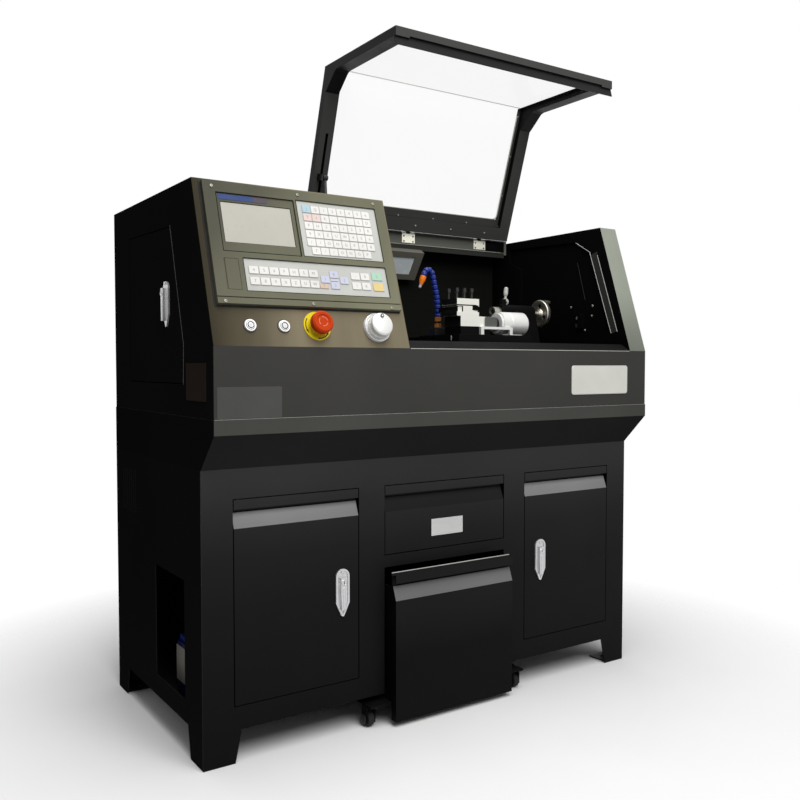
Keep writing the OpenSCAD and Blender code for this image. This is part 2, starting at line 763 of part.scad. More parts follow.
module chip_cart() {
  base_x1 = width - cart_base_x;
  color([0.1, 0.1, 0.11]) placed() translate([0, -cart_out, 0]) {
    translate([cart_x, 0, cart_z]) pull_front(cart_w, cart_h);
    // open box
    difference() {
      block([cart_x + 4, front_t, cart_base_z + 4],
            [cart_x + cart_w - 4, cart_depth, cart_z + cart_h - 30]);
      block([cart_x + 4 + sheet, front_t - 1, cart_base_z + 4 + sheet],
            [cart_x + cart_w - 4 - sheet, cart_depth - sheet, cart_z + cart_h]);
    }
    // base plate that carries the castors
    difference() {
      block([cart_base_x, front_t, cart_base_z], [base_x1, cart_depth, cart_base_z + 4]);
      for (x = [castor_x, width - castor_x])
        translate([x, cart_out + castor_y[0], 0]) cylinder(r = pin_swivel_r + run, h = 100);
    }
    // brackets of the fixed rear wheels
    for (side = [0, 1]) translate([side * width, 0, 0]) mirror([side, 0, 0])
      difference() {
        for (x = [castor_x - 11, castor_x + 8])
          block([x, castor_y[1] - 12, castor_d / 2 - 6], [x + 3, castor_y[1] + 12, cart_base_z]);
        shaft_x(castor_x - 20, castor_x + 20, castor_y[1], castor_d / 2, 3 + run);
      }
  }
}

// Swivel fork of a front castor, about its own swivel line.
module castor_fork(x) {
  translate([x, castor_y[0], 0]) {
    difference() {
      union() {
        for (dx = [-11, 8]) block([dx, -4, castor_d / 2 - 7], [dx + 3, 17, cart_base_z - 3 + eps]);
        block([-11, -14, cart_base_z - 3], [11, 17, cart_base_z - seat]);
      }
      shaft_x(-20, 20, 9, castor_d / 2, 3 + run);
    }
    translate([0, 0, cart_base_z - 3]) cylinder(r = pin_swivel_r, h = 9);
  }
}
// Wheel with its axle, trailing behind the swivel line.
module castor_wheel(x) {
  translate([x, castor_y[0] + 9, castor_d / 2]) rotate([0, 90, 0]) {
    rotate_extrude() polygon([[0, -7], [castor_d / 2 - 2, -7], [castor_d / 2, -5], [castor_d / 2, 5],
      [castor_d / 2 - 2, 7], [0, 7]]);
    translate([0, 0, -12]) cylinder(r = 3, h = 24);
  }
}

module castor_fork_left() { color([0.6, 0.6, 0.6]) placed() castor_fork(castor_x); }
module castor_fork_right() { color([0.6, 0.6, 0.6]) placed() castor_fork(width - castor_x); }
module castor_wheel_left() { color([0.1, 0.1, 0.1]) placed() castor_wheel(castor_x); }
module castor_wheel_right() { color([0.1, 0.1, 0.1]) placed() castor_wheel(width - castor_x); }

module rear_wheels() {
  color([0.1, 0.1, 0.1]) placed() translate([0, castor_y[1] - cart_out, castor_d / 2]) {
    for (x = [castor_x, width - castor_x]) translate([x, 0, 0]) rotate([0, 90, 0]) rotate_extrude()
      polygon([[0, -7], [castor_d / 2 - 2, -7], [castor_d / 2, -5], [castor_d / 2, 5],
        [castor_d / 2 - 2, 7], [0, 7]]);
    shaft_x(castor_x - 12, width - castor_x + 12, 0, 0, 3);
  }
}

// ---------- guard ----------

// Turns the closed guard about its hinge to the opening angle shown.
module opened() {
  translate([0, hinge_y, hinge_z]) rotate([-guard_open, 0, 0])
    translate([0, -hinge_y, -hinge_z]) children();
}

// Outline of the guard between two depths below its outer face: rear, knee, lower edge.
function guard_line(d) = let (n = [cos(slant_a), -sin(slant_a)], t = [sin(slant_a), cos(slant_a)],
    a = [front_y, panel_top] + guard_tip * t + d * n, k = (guard_top - d - a[1]) / t[1])
  [[guard_rear, guard_top - d], a + k * t, a];
function guard_band(d0, d1) = concat(guard_line(d0), [for (i = [2 : -1 : 0]) guard_line(d1)[i]]);
rail_d = 32;

// A triangular web that stiffens the knee of a side bar.
function knee_web() = let (p = guard_line(bar_t), t = [sin(slant_a), cos(slant_a)])
  [p[1] + [0, 1], p[1] + [44, 1], p[1] + [38, -4], p[1] - 36 * t + [4, 2], p[1] - 42 * t];

module lid_frame() {
  t = [sin(slant_a), cos(slant_a)];
  n = [cos(slant_a), -sin(slant_a)];
  tip = guard_line(0)[2];
  color([0.12, 0.12, 0.12]) placed() opened() {
    // side bars with their knee webs; the left one has the slot of the spring bracket
    difference() {
      union() for (x = [guard_x0, guard_x1 - bar_w]) {
        along_x(x, x + bar_w) polygon(guard_band(0, bar_t));
        along_x(x, x + bar_w) polygon(knee_web());
      }
      block([guard_x0 + 17, 190, guard_top - bar_t - 1], [guard_x0 + 24, 345, guard_top - 6]);
    }
    // rear bar and front rail
    block([guard_x0 + bar_w, guard_rear - bar_w, guard_top - bar_t],
          [guard_x1 - bar_w, guard_rear, guard_top]);
    along_x(guard_x0 + bar_w, guard_x1 - bar_w)
      polygon([tip, tip + rail_d * t, tip + rail_d * t + 16 * n, tip + 16 * n]);
    // flared lip of the front rail
    along_x(guard_x0, guard_x1) polygon([tip + 6 * t + 15 * n, tip + 9 * t + 15 * n,
      tip + 3 * t + 38 * n, tip + 38 * n]);
    // ledges that hold the window
    for (x = [guard_x0 + bar_w, guard_x1 - bar_w - 10])
      along_x(x, x + 10) polygon(guard_band(1 + window_t, 3 + window_t));
    // guard leaves of the hinges
    for (x = hinge_xs) {
      knuckle(x - hinge_w / 2 + knuckle_w + seat, x + hinge_w / 2 - knuckle_w - seat, hinge_pin_r + run);
      block([x - hinge_w / 2 + knuckle_w + seat, guard_rear - 30, guard_top],
            [x + hinge_w / 2 - knuckle_w - seat, hinge_y - 3, guard_top + 2]);
    }
    // bracket and stud of the gas spring
    block([spring_x - 13, hinge_y + spring_top_closed[0] - 7, hinge_z + spring_top_closed[1] - 7],
          [spring_x - 8, hinge_y + spring_top_closed[0] + 7, guard_top - bar_t + eps]);
    shaft_x(spring_x - 9, spring_x - spring_w / 2 - seat, hinge_y + spring_top_closed[0],
            hinge_z + spring_top_closed[1], spring_pin_r);
  }
}

module lid_window() {
  x0 = guard_x0 + bar_w;
  x1 = guard_x1 - bar_w;
  t = [sin(slant_a), cos(slant_a)];
  o = guard_line(1);
  i = guard_line(1 + window_t);
  rear = [guard_rear - bar_w - guard_line(0)[0][0], 0];
  color([0.85, 0.9, 0.92, 0.3]) placed() opened() along_x(x0, x1)
    polygon([o[0] + rear, o[1], o[2] + rail_d * t, i[2] + rail_d * t, i[1], i[0] + rear]);
}

// Gas spring geometry at the opening angle shown, as [y, z].
function turned(p, a) = [p[0] * cos(a) - p[1] * sin(a), p[0] * sin(a) + p[1] * cos(a)];
spring_top = [hinge_y, hinge_z] + turned(spring_top_closed, -guard_open);
spring_len = norm(spring_top - spring_low);
spring_lean = atan2(spring_top[1] - spring_low[1], spring_top[0] - spring_low[0]);
spring_tube_r = 9;
spring_rod_r = 4;
spring_stroke = spring_len - norm([hinge_y, hinge_z] + spring_top_closed - spring_low);

// Frame of the gas spring: x along the rod from the lower pivot, y across the cabinet.
module on_spring() { translate([spring_x, spring_low[0], spring_low[1]]) rotate([0, 0, 90])
  rotate([0, -spring_lean, 0]) children(); }

// An eye at the end of the spring, bored across.
module eye(x, r, bore_r) {
  translate([x, spring_w / 2, 0]) rotate([90, 0, 0]) difference() {
    cylinder(r = r, h = spring_w);
    translate([0, 0, -1]) cylinder(r = bore_r, h = spring_w + 2);
  }
}

module gas_spring_tube() {
  color([0.1, 0.1, 0.1]) placed() on_spring() {
    eye(0, 8, spring_pin_r + run);
    rotate([0, 90, 0]) rotate_extrude() polygon([[0, 6], [6, 6], [6, 10], [spring_tube_r, 13],
      [spring_tube_r, spring_tube_l - 3], [spring_tube_r - 2, spring_tube_l],
      [spring_rod_r + run, spring_tube_l],
      [spring_rod_r + run, 14], [0, 14]]);
  }
}

module gas_spring_rod() {
  color([0.15, 0.15, 0.15]) placed() on_spring() {
    eye(spring_len, 7, spring_pin_r + seat);
    rotate([0, 90, 0]) translate([0, 0, 15 + spring_stroke])
      cylinder(r = spring_rod_r, h = spring_len - 6.5 - 15 - spring_stroke);
  }
}

// ---------- lathe ----------

trough = [bed_y0 + 48, bed_y1 - 48];

module machine_bed() {
  color([0.2, 0.2, 0.2]) placed() {
    difference() {
      along_x(bed_x0, bed_x1) polygon([[bed_y0, bed_z0], [bed_y1, bed_z0], [bed_y1, bed_z0 + 24],
        [bed_y1 - 14, bed_z0 + 36], [bed_y1 - 14, bed_top - 30], [bed_y1, bed_top - 20], [bed_y1, bed_top],
        [bed_y0, bed_top], [bed_y0, bed_top - 20], [bed_y0 + 6, bed_top - 28], [bed_y0 + 6, bed_z0 + 36],
        [bed_y0, bed_z0 + 24]]);
      // trough between the ways, closed by cross ribs
      for (i = [0 : 3])
        block([chuck_x + 12 + i * 142, trough[0], bed_top - 80],
              [chuck_x + 142 + i * 142, trough[1], bed_top + 1]);
    }
    // pedestals in the tray
    for (x = [bed_x0 + 20, bed_x1 - 130])
      block([x, bed_y0 + 10, base_h + sheet], [x + 110, bed_y1 - 10, bed_z0]);
    // bearing blocks of the Z screw
    for (x = [head_x1 + 8, bed_x1 - 26]) difference() {
      block([x, z_screw_y - 15, z_screw_z - 15], [x + 16, bed_y0 + 6, z_screw_z + 15]);
      shaft_x(x - 1, x + 17, z_screw_y, z_screw_z, 6 + run);
    }
  }
}

module headstock() {
  color([0.22, 0.22, 0.22]) placed() difference() {
    union() {
      along_x(head_x0, head_x1) polygon(concat(
        [[bed_y1 - 5, bed_top], [bed_y1 - 5, bed_top + 18], [spindle_y + 62, bed_top + 34]],
        [for (a = [0 : 15 : 180]) [spindle_y + 62 * cos(a), spindle_z + 62 * sin(a)]],
        [[spindle_y - 62, bed_top + 34], [bed_y0 + 5, bed_top + 18], [bed_y0 + 5, bed_top]]));
      shaft_x(head_x0 - 12, head_x0 + eps, spindle_y, spindle_z, 42);
    }
    shaft_x(head_x0 - 13, head_x1 + 1, spindle_y, spindle_z, spindle_r + run);
  }
}

module spindle() {
  color([0.7, 0.7, 0.7]) placed() difference() {
    union() {
      shaft_x(pulley_x - 8, chuck_x - 12 + eps, spindle_y, spindle_z, spindle_r);
      shaft_x(chuck_x - 12, chuck_x, spindle_y, spindle_z, 40);
      pulley(pulley_x, spindle_y, spindle_z, pulley_r);
    }
    shaft_x(pulley_x - 9, chuck_x + 1, spindle_y, spindle_z, spindle_bore / 2);
  }
}

// A belt pulley with a flange at each side, r is the radius under the belt.
module pulley(x, y, z, r) {
  translate([x, y, z]) rotate([0, 90, 0]) rotate_extrude() polygon([[0, 0], [r + 5, 0], [r + 5, 2], [r, 4],
    [r, pulley_w - 4], [r + 5, pulley_w - 2], [r + 5, pulley_w], [0, pulley_w]]);
}

module motor_pulley() {
  color([0.35, 0.35, 0.36]) placed() {
    pulley(pulley_x, motor_y, motor_z, motor_pulley_r);
    shaft_x(pulley_x + pulley_w - eps, motor_x + 20, motor_y, motor_z, 9);
  }
}
motor_x = 266;

module drive_belt() {
  color([0.08, 0.08, 0.08]) placed() along_x(pulley_x + 5, pulley_x + pulley_w - 5) difference() {
    belt_outline(belt_t + seat);
    belt_outline(seat);
  }
}
// Outline round both pulleys, set off from them by d.
module belt_outline(d) {
  hull() {
    translate([spindle_y, spindle_z]) circle(r = pulley_r + d, $fn = 64);
    translate([motor_y, motor_z]) circle(r = motor_pulley_r + d, $fn = 64);
  }
}

module drive_motors() {
  color([0.18, 0.18, 0.2]) placed() {
    // spindle motor on its stand
    difference() {
      union() {
        shaft_x(motor_x, motor_x + 150, motor_y, motor_z, 56);
        block([motor_x, motor_y - 50, base_h + sheet], [motor_x + 12, motor_y + 50, motor_z]);
        block([motor_x, motor_y - 50, base_h + sheet], [motor_x + 150, motor_y + 50, base_h + sheet + 8]);
      }
      shaft_x(motor_x - 1, motor_x + 24, motor_y, motor_z, 9 + run);
    }
    // servo motor of the Z screw, bolted to the end of the bed
    difference() {
      block([bed_x0 + 14, z_screw_y - 30, z_screw_z - 30], [bed_x0 + 104, bed_y0, z_screw_z + 30]);
      shaft_x(bed_x0 + 70, bed_x0 + 105, z_screw_y, z_screw_z, 6 + run);
    }
  }
}

module z_screw() {
  color([0.7, 0.7, 0.7]) placed() {
    shaft_x(bed_x0 + 75, bed_x1 - 6, z_screw_y, z_screw_z, 6);
    shaft_x(head_x1 + 25, bed_x1 - 27, z_screw_y, z_screw_z, z_screw_r);
  }
}

module chuck_body() {
  color([0.75, 0.75, 0.75]) placed() difference() {
    translate([chuck_x, spindle_y, spindle_z]) rotate([0, 90, 0]) rotate_extrude()
      polygon([[spindle_bore / 2, 0], [chuck_r - 2, 0], [chuck_r, 2], [chuck_r, chuck_l - 3],
        [chuck_r - 3, chuck_l], [spindle_bore / 2, chuck_l]]);
    for (i = [0 : 2]) about_spindle(i)
      block([chuck_x + chuck_l - 16, -jaw_w / 2 - run, 0],
            [chuck_x + chuck_l + 1, jaw_w / 2 + run, chuck_r + 1]);
  }
}

// Turns a piece drawn upwards from the spindle axis to the place of jaw i.
module about_spindle(i) {
  translate([0, spindle_y, spindle_z]) rotate([i * 120, 0, 0]) children();
}

// A stepped chuck jaw, drawn pointing up.
module chuck_jaw(i) {
  x0 = chuck_x + chuck_l - 16 + run;
  about_spindle(i) intersection() {
    along_y(-jaw_w / 2, jaw_w / 2) polygon([[x0, jaw_in + 2], [x0, chuck_r - 8], [x0 + 16, chuck_r - 8],
      [x0 + 16, chuck_r - 12], [x0 + 22, chuck_r - 12], [x0 + 22, jaw_in + 12], [x0 + 28, jaw_in + 12],
      [x0 + 28, jaw_in]]);
    linear_extrude(chuck_d) polygon([[0, -jaw_w], [2 * chuck_x, -jaw_w], [2 * chuck_x, jaw_w], [0, jaw_w]]);
  }
}
module chuck_jaw_1() { color([0.6, 0.6, 0.6]) placed() chuck_jaw(0); }
module chuck_jaw_2() { color([0.6, 0.6, 0.6]) placed() chuck_jaw(1); }
module chuck_jaw_3() { color([0.6, 0.6, 0.6]) placed() chuck_jaw(2); }

dovetail_w = 100;
dovetail_h = 12;

// Outline of the dovetail of the cross slide as [x, z], widened by g.
function dovetail(g) = let (half = dovetail_w / 2 + g) [[rail_x - half, slide_z - g],
  [rail_x + half, slide_z - g], [rail_x + half + 7, slide_z + dovetail_h + g],
  [rail_x - half - 7, slide_z + dovetail_h + g]];
x_motor_y = bed_y1 + 20;

module carriage() {
  color([0.2, 0.2, 0.2]) placed() difference() {
    union() {
      block([saddle_x0, bed_y0 - 20, saddle_z], [saddle_x0 + saddle_l, bed_y1 + 20, slide_z]);
      along_y(bed_y0 - 10, bed_y1 + 10) polygon(dovetail(0));
      // apron with the nut of the Z screw
      block([rail_x - 60, z_screw_y - 16, z_screw_z - 16], [rail_x + 60, bed_y0 - 0.8, saddle_z + eps]);
      // servo motor of the X screw
      block([rail_x - 28, x_motor_y, slide_z - 28], [rail_x + 28, x_motor_y + 70, slide_z + 34]);
    }
    shaft_x(rail_x - 61, rail_x + 61, z_screw_y, z_screw_z, z_screw_r + run);
    // channel of the X screw, and its bearing in the motor
    block([rail_x - 12, bed_y0 - 11, slide_z - 1], [rail_x + 12, bed_y1 + 11, slide_z + dovetail_h + 1]);
    shaft_y(bed_y1 - 1, x_motor_y + 20, rail_x, x_screw_z, x_screw_r + run);
  }
}

module x_screw() {
  color([0.7, 0.7, 0.7]) placed() shaft_y(bed_y0 - 8, x_motor_y + 18, rail_x, x_screw_z, x_screw_r);
}

module cross_slide() {
  color([0.24, 0.24, 0.25]) placed() difference() {
    union() {
      difference() {
        block([slide_x0, slide_y0, slide_z + seat], [slide_x0 + slide_w, slide_y0 + slide_l, slide_top]);
        along_y(slide_y0 - 1, slide_y0 + slide_l + 1) polygon(dovetail(0.1));
      }
      // riser of the tool block
      block([gang_x + 11, gang_y0, slide_top - eps], [gang_x + 66, gang_y0 + gang_l, gang_z0]);
      // nut of the X screw
      block([rail_x - 10, slide_y0 + 60, slide_z + seat],
            [rail_x + 10, slide_y0 + 90, slide_z + dovetail_h + 1]);
    }
    shaft_y(slide_y0 - 1, slide_y0 + slide_l + 1, rail_x, x_screw_z, x_screw_r + run);
    // tee slots across the top
    for (y = [slide_y0 + 106, slide_y0 + 140]) {
      block([slide_x0 - 1, y, slide_top - 10], [slide_x0 + slide_w + 1, y + 6, slide_top + 1]);
      block([slide_x0 - 1, y - 3, slide_top - 10], [slide_x0 + slide_w + 1, y + 9, slide_top - 5]);
    }
  }
}

gang_x = 653;
gang_w = 66;
gang_z0 = slide_top + 19;
gang_h = 65;
gang_l = 62;
screw_y = [14, 46];
tool_out = 6;
tool_w = 12;

// Clamp screw with its head, standing on the top plate of the tool block.
module clamp_screw(x, y) {
  translate([x, y, gang_z0 + gang_h - 14]) cylinder(r = 3, h = 33, $fn = 24);
  translate([x, y, gang_z0 + gang_h + 16]) difference() {
    cylinder(r = 5, h = 9, $fn = 24);
    translate([0, 0, 4]) cylinder(r = 2.5, h = 6, $fn = 6);
  }
}

module gang_tool_block() {
  z0 = gang_z0;
  tip_y = gang_y0 + gang_l + tool_out;
  color([0.85, 0.85, 0.83]) placed() {
    // base blocks
    block([gang_x + 11, gang_y0, z0], [gang_x + 78, gang_y0 + gang_l, z0 + 24]);
    block([gang_x + 78 + eps, gang_y0 + 4, z0], [gang_x + 122, gang_y0 + gang_l - 4, z0 + 24]);
    // tool plates with their slots, seen as an E from the front
    difference() {
      block([gang_x, gang_y0, z0 + 24 + eps], [gang_x + gang_w, gang_y0 + gang_l, z0 + gang_h]);
      block([gang_x - 1, gang_y0 - 1, z0 + 34], [gang_x + 18, gang_y0 + gang_l + 1, z0 + 34 + tool_w + 1]);
      block([gang_x + gang_w - 16, gang_y0 - 1, z0 + 34],
            [gang_x + gang_w + 1, gang_y0 + gang_l + 1, z0 + 34 + tool_w + 1]);
      block([gang_x - 1, gang_y0 - 1, z0 + gang_h - 17],
            [gang_x + gang_w - 8, gang_y0 + gang_l + 1, z0 + gang_h - 14]);
      for (x = [0 : 2], y = screw_y)
        translate([gang_x + 10 + x * 22, gang_y0 + y, z0 + gang_h - 14]) cylinder(r = 3, h = 15, $fn = 24);
    }
    for (x = [0 : 2], y = screw_y) clamp_screw(gang_x + 10 + x * 22, gang_y0 + y);
    // turning tools: square shanks with ground tips
    for (x = [gang_x + 4, gang_x + gang_w - 15]) translate([x, 0, z0 + 34]) {
      block([0, gang_y0 + 2, 0], [tool_w, tip_y, tool_w]);
      linear_extrude(tool_w) polygon([[0, tip_y], [tool_w, tip_y], [4, tip_y + 14], [0, tip_y + 10]]);
    }
  }
}

module drill_head() {
  r = drill_d / 2;
  color([0.8, 0.8, 0.8]) placed() {
    difference() {
      translate([drill_x, drill_y, drill_z]) rotate([0, 90, 0]) rotate_extrude()
        polygon([[14.05, 0], [r - 4, 0], [r - 4, 6], [r, 6], [r, 30], [r - 1, 31], [r - 1, 33], [r, 34],
          [r, drill_l - 4], [r - 3, drill_l], [0, drill_l], [0, 24], [14.05, 24]]);
      block([drill_x - 1, gang_y0 - 20, slide_z - 20], [drill_x + drill_l + 1, gang_y0 + 100, slide_top]);
    }
    // foot of the head
    block([drill_x + 12, drill_y - 13, slide_top], [drill_x + drill_l - 12, drill_y + 13, slide_top + 13]);
    // bridge clamp that stands on the cross slide
    difference() {
      block([gang_x + 68, slide_y0, slide_top], [gang_x + 167, slide_y0 + 8, gang_z0]);
      block([gang_x + 77, slide_y0 - 1, slide_top - 1], [gang_x + 158, slide_y0 + 9, gang_z0 - 6]);
    }
  }
}

module drill_chuck() {
  color([0.3, 0.3, 0.3]) placed() translate([drill_x, drill_y, drill_z]) rotate([0, 90, 0]) rotate_extrude()
    polygon([[6, -18], [11, -18], [16, -14], [16, -4], [14, -1], [14, 23.5], [6, 23.5]]);
}

hose_r = 7.2;
hose_foot = [30, 20, 19];
hose_at = [slide_x0 + 25, 172, slide_top];
// Points of the hose over its foot: how far along X, and how high.
hose_path = [for (p = [[0, 45], [-0.5, 55], [-1, 66], [-2, 77], [-3, 89], [-5, 101], [-8, 113],
  [-11, 125], [-14, 137], [-17, 149], [-23, 158], [-32, 160], [-40, 153], [-44, 142]])
  hose_at + [p[0], 0, p[1]]];
hose_tip = hose_at + [-52, 0, 122];

// One ball-and-cup segment of the hose between two points of its path.
module hose_segment(a, b) {
  v = b - a;
  translate(a) rotate([0, acos(v[2] / norm(v)), atan2(v[1], v[0])])
    rotate_extrude($fn = 20) polygon([[0, -3], [hose_r - 2.5, -3], [hose_r, 2], [hose_r, norm(v) - 4],
      [hose_r - 2.5, norm(v) - 1], [0, norm(v) - 1]]);
}

module coolant_hose() {
  color([0.1, 0.2, 0.75]) placed() {
    translate(hose_at) {
      translate([-hose_foot[0] / 2, -hose_foot[1] / 2, 0]) cube(hose_foot);
      translate([0, 0, hose_foot[2] - eps]) rotate_extrude()
        polygon([[0, 0], [8.5, 0], [8.5, 10], [7.8, 12], [7.8, 26], [0, 26]]);
    }
    for (i = [0 : len(hose_path) - 2]) hose_segment(hose_path[i], hose_path[i + 1]);
    hose_nozzle(hose_path[len(hose_path) - 1], hose_tip);
  }
}

// Tapering orange nozzle at the end of the hose.
module hose_nozzle(a, b) {
  v = b - a;
  translate(a) rotate([0, acos(v[2] / norm(v)), atan2(v[1], v[0])])
    rotate_extrude($fn = 24) polygon([[0, -1], [hose_r, -1], [hose_r, 10], [3.5, norm(v)], [0, norm(v)]]);
}

module tailstock_body() {
  color([0.13, 0.13, 0.13]) placed() difference() {
    union() {
      block([tail_x - 6, bed_y0 + 2, bed_top + seat], [tail_x + tail_l + 10, bed_y1 - 2, bed_top + 22]);
      along_x(tail_x, tail_x + tail_l) polygon(concat([[spindle_y + 45, bed_top + 20]],
        [for (a = [0 : 15 : 180]) [spindle_y + tail_r * cos(a), spindle_z + tail_r * sin(a)]],
        [[spindle_y - 45, bed_top + 20]]));
      // hub of the quill lock
      translate([tail_x + 14, spindle_y, spindle_z]) cylinder(r = 9, h = 34);
      // clamp that hangs between the ways
      block([tail_x + 20, trough[0] + 1, bed_top - 30], [tail_x + 80, trough[1] - 1, bed_top + 1]);
    }
    shaft_x(tail_x - 1, tail_x + tail_l - 8, spindle_y, spindle_z, quill_r + run);
    shaft_x(tail_x + tail_l - 9, tail_x + tail_l + 1, spindle_y, spindle_z, 7 + run);
    shaft_y(spindle_y - 5 - seat, spindle_y + 5 + seat, lever_x, lever_z, 12);
    shaft_y(spindle_y - 20, spindle_y + 20, lever_x, lever_z, 3 + run);
  }
}
lever_z = spindle_z + 28;
lever_x = tail_x + 22;
quill_out = 22;

module tailstock_quill() {
  color([0.75, 0.75, 0.75]) placed() difference() {
    shaft_x(tail_x - quill_out, tail_x + tail_l - 12, spindle_y, spindle_z, quill_r);
    shaft_x(tail_x - quill_out - 1, tail_x + 34, spindle_y, spindle_z, quill_bore_r);
    shaft_x(tail_x + 40, tail_x + tail_l, spindle_y, spindle_z, 6 + run);
  }
}

module tailstock_handwheel() {
  r = tail_wheel_d / 2;
  color([0.6, 0.6, 0.6]) placed() {
    translate([tail_wheel_x, spindle_y, spindle_z]) rotate([0, 90, 0]) difference() {
      rotate_extrude() polygon([[0, -6], [10, -6], [12, 0], [14, 3], [r - 10, 3], [r - 8, 0], [r - 2, 0],
        [r, 2],
        [r, 10], [r - 2, 12], [r - 8, 12], [r - 10, 7], [14, 7], [12, 16], [0, 16]]);
      for (a = [60 : 120 : 300]) rotate(a) translate([r / 2 + 2, 0, -10]) cylinder(r = 6, h = 40);
    }
    shaft_x(tail_x + 42, tail_wheel_x - 6 + eps, spindle_y, spindle_z, 6);
    shaft_x(tail_wheel_x + 11, tail_wheel_x + 40, spindle_y, spindle_z + r - 5, 5);
  }
}

module tailstock_lever() {
  color([0.7, 0.7, 0.68]) placed() translate([lever_x, spindle_y, lever_z]) {
    rotate([90, 0, 0]) translate([0, 0, -5]) cylinder(r = 8, h = 10);
    rotate([90, 0, 0]) translate([0, 0, -11]) cylinder(r = 3, h = 22);
    rotate([0, 6, 0]) {
      cylinder(r = 3.4, h = 24);
      translate([0, 0, 16]) rotate_extrude() polygon([[0, 0], [5, 0], [6, 6], [5.4, 19], [3, 22], [0, 22]]);
    }
  }
}

// ---------- lamp and lubrication ----------

lamp_x = control_w + 172;
lamp_tilt = 34;
lamp_w = 192;
lamp_rim = [24, 16];
lamp_h = 84;

// Frame of the lamp: x along it, y up its face, z out of its glass.
module on_lamp() {
  translate([lamp_x, rear_wall_y - 78, top_h - beam_h - 17]) rotate([90 + lamp_tilt, 0, 0]) children();
}

module work_lamp() {
  color([0.25, 0.25, 0.24]) placed() {
    on_lamp() difference() {
      block([0, -lamp_h, -20], [lamp_w, 0, 0]);
      block([lamp_rim[0], lamp_rim[1] - lamp_h, -6], [lamp_w - lamp_rim[0], -lamp_rim[1], 1]);
    }
    // bracket to the rear wall
    for (x = [lamp_x + 46, lamp_x + 136])
      along_x(x, x + 4) polygon([[rear_wall_y, top_h - 52], [rear_wall_y, top_h - 82],
        [rear_wall_y - 40, top_h - 80], [rear_wall_y - 46, top_h - 70]]);
  }
}

module lamp_glass() {
  color([0.75, 0.85, 0.95]) placed() on_lamp()
    block([lamp_rim[0], lamp_rim[1] - lamp_h, -6], [lamp_w - lamp_rim[0], -lamp_rim[1], -3]);
}

// Middle of the oil tank on its shelf; its size without the round corners; cover, motor and filler
pump_at = [90, 180, foot_h + sheet];
tank = [80, 120, 118];
tank_r = 12;
cover = [92, 128, 12];
motor = [72, 70, 76];
motor_back = 15;
filler = [12, 40, 42];
gauge = [16, 34];

module lube_pump() {
  color([0.2, 0.3, 0.6]) placed() translate(pump_at) {
    linear_extrude(tank[2]) offset(r = tank_r) square([tank[0], tank[1]], center = true);
    translate([0, 0, tank[2]]) {
      translate([-cover[0] / 2, -cover[1] / 2, 0]) cube(cover);
      translate([-motor[0] / 2, -motor[1] / 2 - motor_back, cover[2]]) cube(motor);
      translate([0, filler[2], cover[2]]) cylinder(r = filler[0], h = filler[1]);
      shaft_y(-motor_back - motor[1] / 2 - gauge[1], -motor_back - motor[1] / 2, 0,
        cover[2] + motor[2] / 2, gauge[0]);
    }
  }
}

base_front_frame();
base_wrap();
base_inner_panels();
chip_tray();
front_panel();
control_box_shell();
right_wall_box();
rear_housing();
lid_hinges();
controller_bezel();
screen_glass();
membrane_keys();
panel_rings();
lube_pump();
work_lamp();
lamp_glass();
machine_bed();
headstock();
drive_motors();
drive_belt();
left_door();
left_door_latch();
right_door();
right_door_latch();
side_door();
side_door_latch();
drawer();
chip_cart();
castor_fork_left();
castor_fork_right();
castor_wheel_left();
castor_wheel_right();
rear_wheels();
lid_frame();
lid_window();
gas_spring_tube();
gas_spring_rod();
spindle();
chuck_body();
chuck_jaw_1();
chuck_jaw_2();
chuck_jaw_3();
motor_pulley();
carriage();
cross_slide();
gang_tool_block();
drill_head();
drill_chuck();
coolant_hose();
tailstock_body();
tailstock_quill();
tailstock_handwheel();
tailstock_lever();
z_screw();
x_screw();
start_button();
stop_button();
estop_cap();
hand_dial();
memory_door();
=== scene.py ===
# %% [markdown]
# A small CNC lathe on its own sheet-metal cabinet. The measured solids of the machine come in as a fixed frame:
# cabinet, doors, guard, bed, spindle and slides already stand where they belong, in metres. This lesson dresses
# that frame. It gives each solid a finish made of shader nodes, some of which paint light and shade by the way a
# face turns. It adds the fine pieces that a drawing of sheet metal leaves out: keys, screws, knobs, hose ends and
# plates, with pale strips as painted highlights along seams and edges and dark strips as painted shadow.
# Everything is placed by numbers read from the frame, so a piece fits without being pushed about by hand.

# %% Load the frame
import math

import bmesh
import bpy
import mathutils
import numpy as np
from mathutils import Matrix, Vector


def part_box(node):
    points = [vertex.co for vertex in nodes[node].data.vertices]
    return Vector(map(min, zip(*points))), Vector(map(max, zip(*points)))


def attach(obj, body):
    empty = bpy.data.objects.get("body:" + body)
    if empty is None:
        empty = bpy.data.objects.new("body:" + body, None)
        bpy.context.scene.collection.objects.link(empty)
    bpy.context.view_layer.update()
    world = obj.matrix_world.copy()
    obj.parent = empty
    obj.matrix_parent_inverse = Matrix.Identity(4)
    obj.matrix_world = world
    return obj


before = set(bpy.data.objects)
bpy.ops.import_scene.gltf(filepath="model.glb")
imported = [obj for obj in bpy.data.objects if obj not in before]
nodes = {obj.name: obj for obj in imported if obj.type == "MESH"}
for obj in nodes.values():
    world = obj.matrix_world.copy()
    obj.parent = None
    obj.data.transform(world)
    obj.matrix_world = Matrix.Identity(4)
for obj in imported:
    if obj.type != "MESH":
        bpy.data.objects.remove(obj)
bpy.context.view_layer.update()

# %% [markdown]
# The workshop drawing of this machine counts in millimetres from the cabinet's left front bottom corner: X to the
# right, Y to the back, Z up. Blender counts in metres from the middle of the footprint. One small function turns
# the first into the second, so that the numbers below read like the drawing.

# %% From drawing millimetres to metres
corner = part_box("base_front_frame")[0]


def metres(points):
    """Drawing millimetres to row metres: the point over 1000, plus the cabinet's corner."""
    return np.asarray(points, float).reshape(-1, 3) / 1000 + np.array([corner.x, corner.y, 0.0])


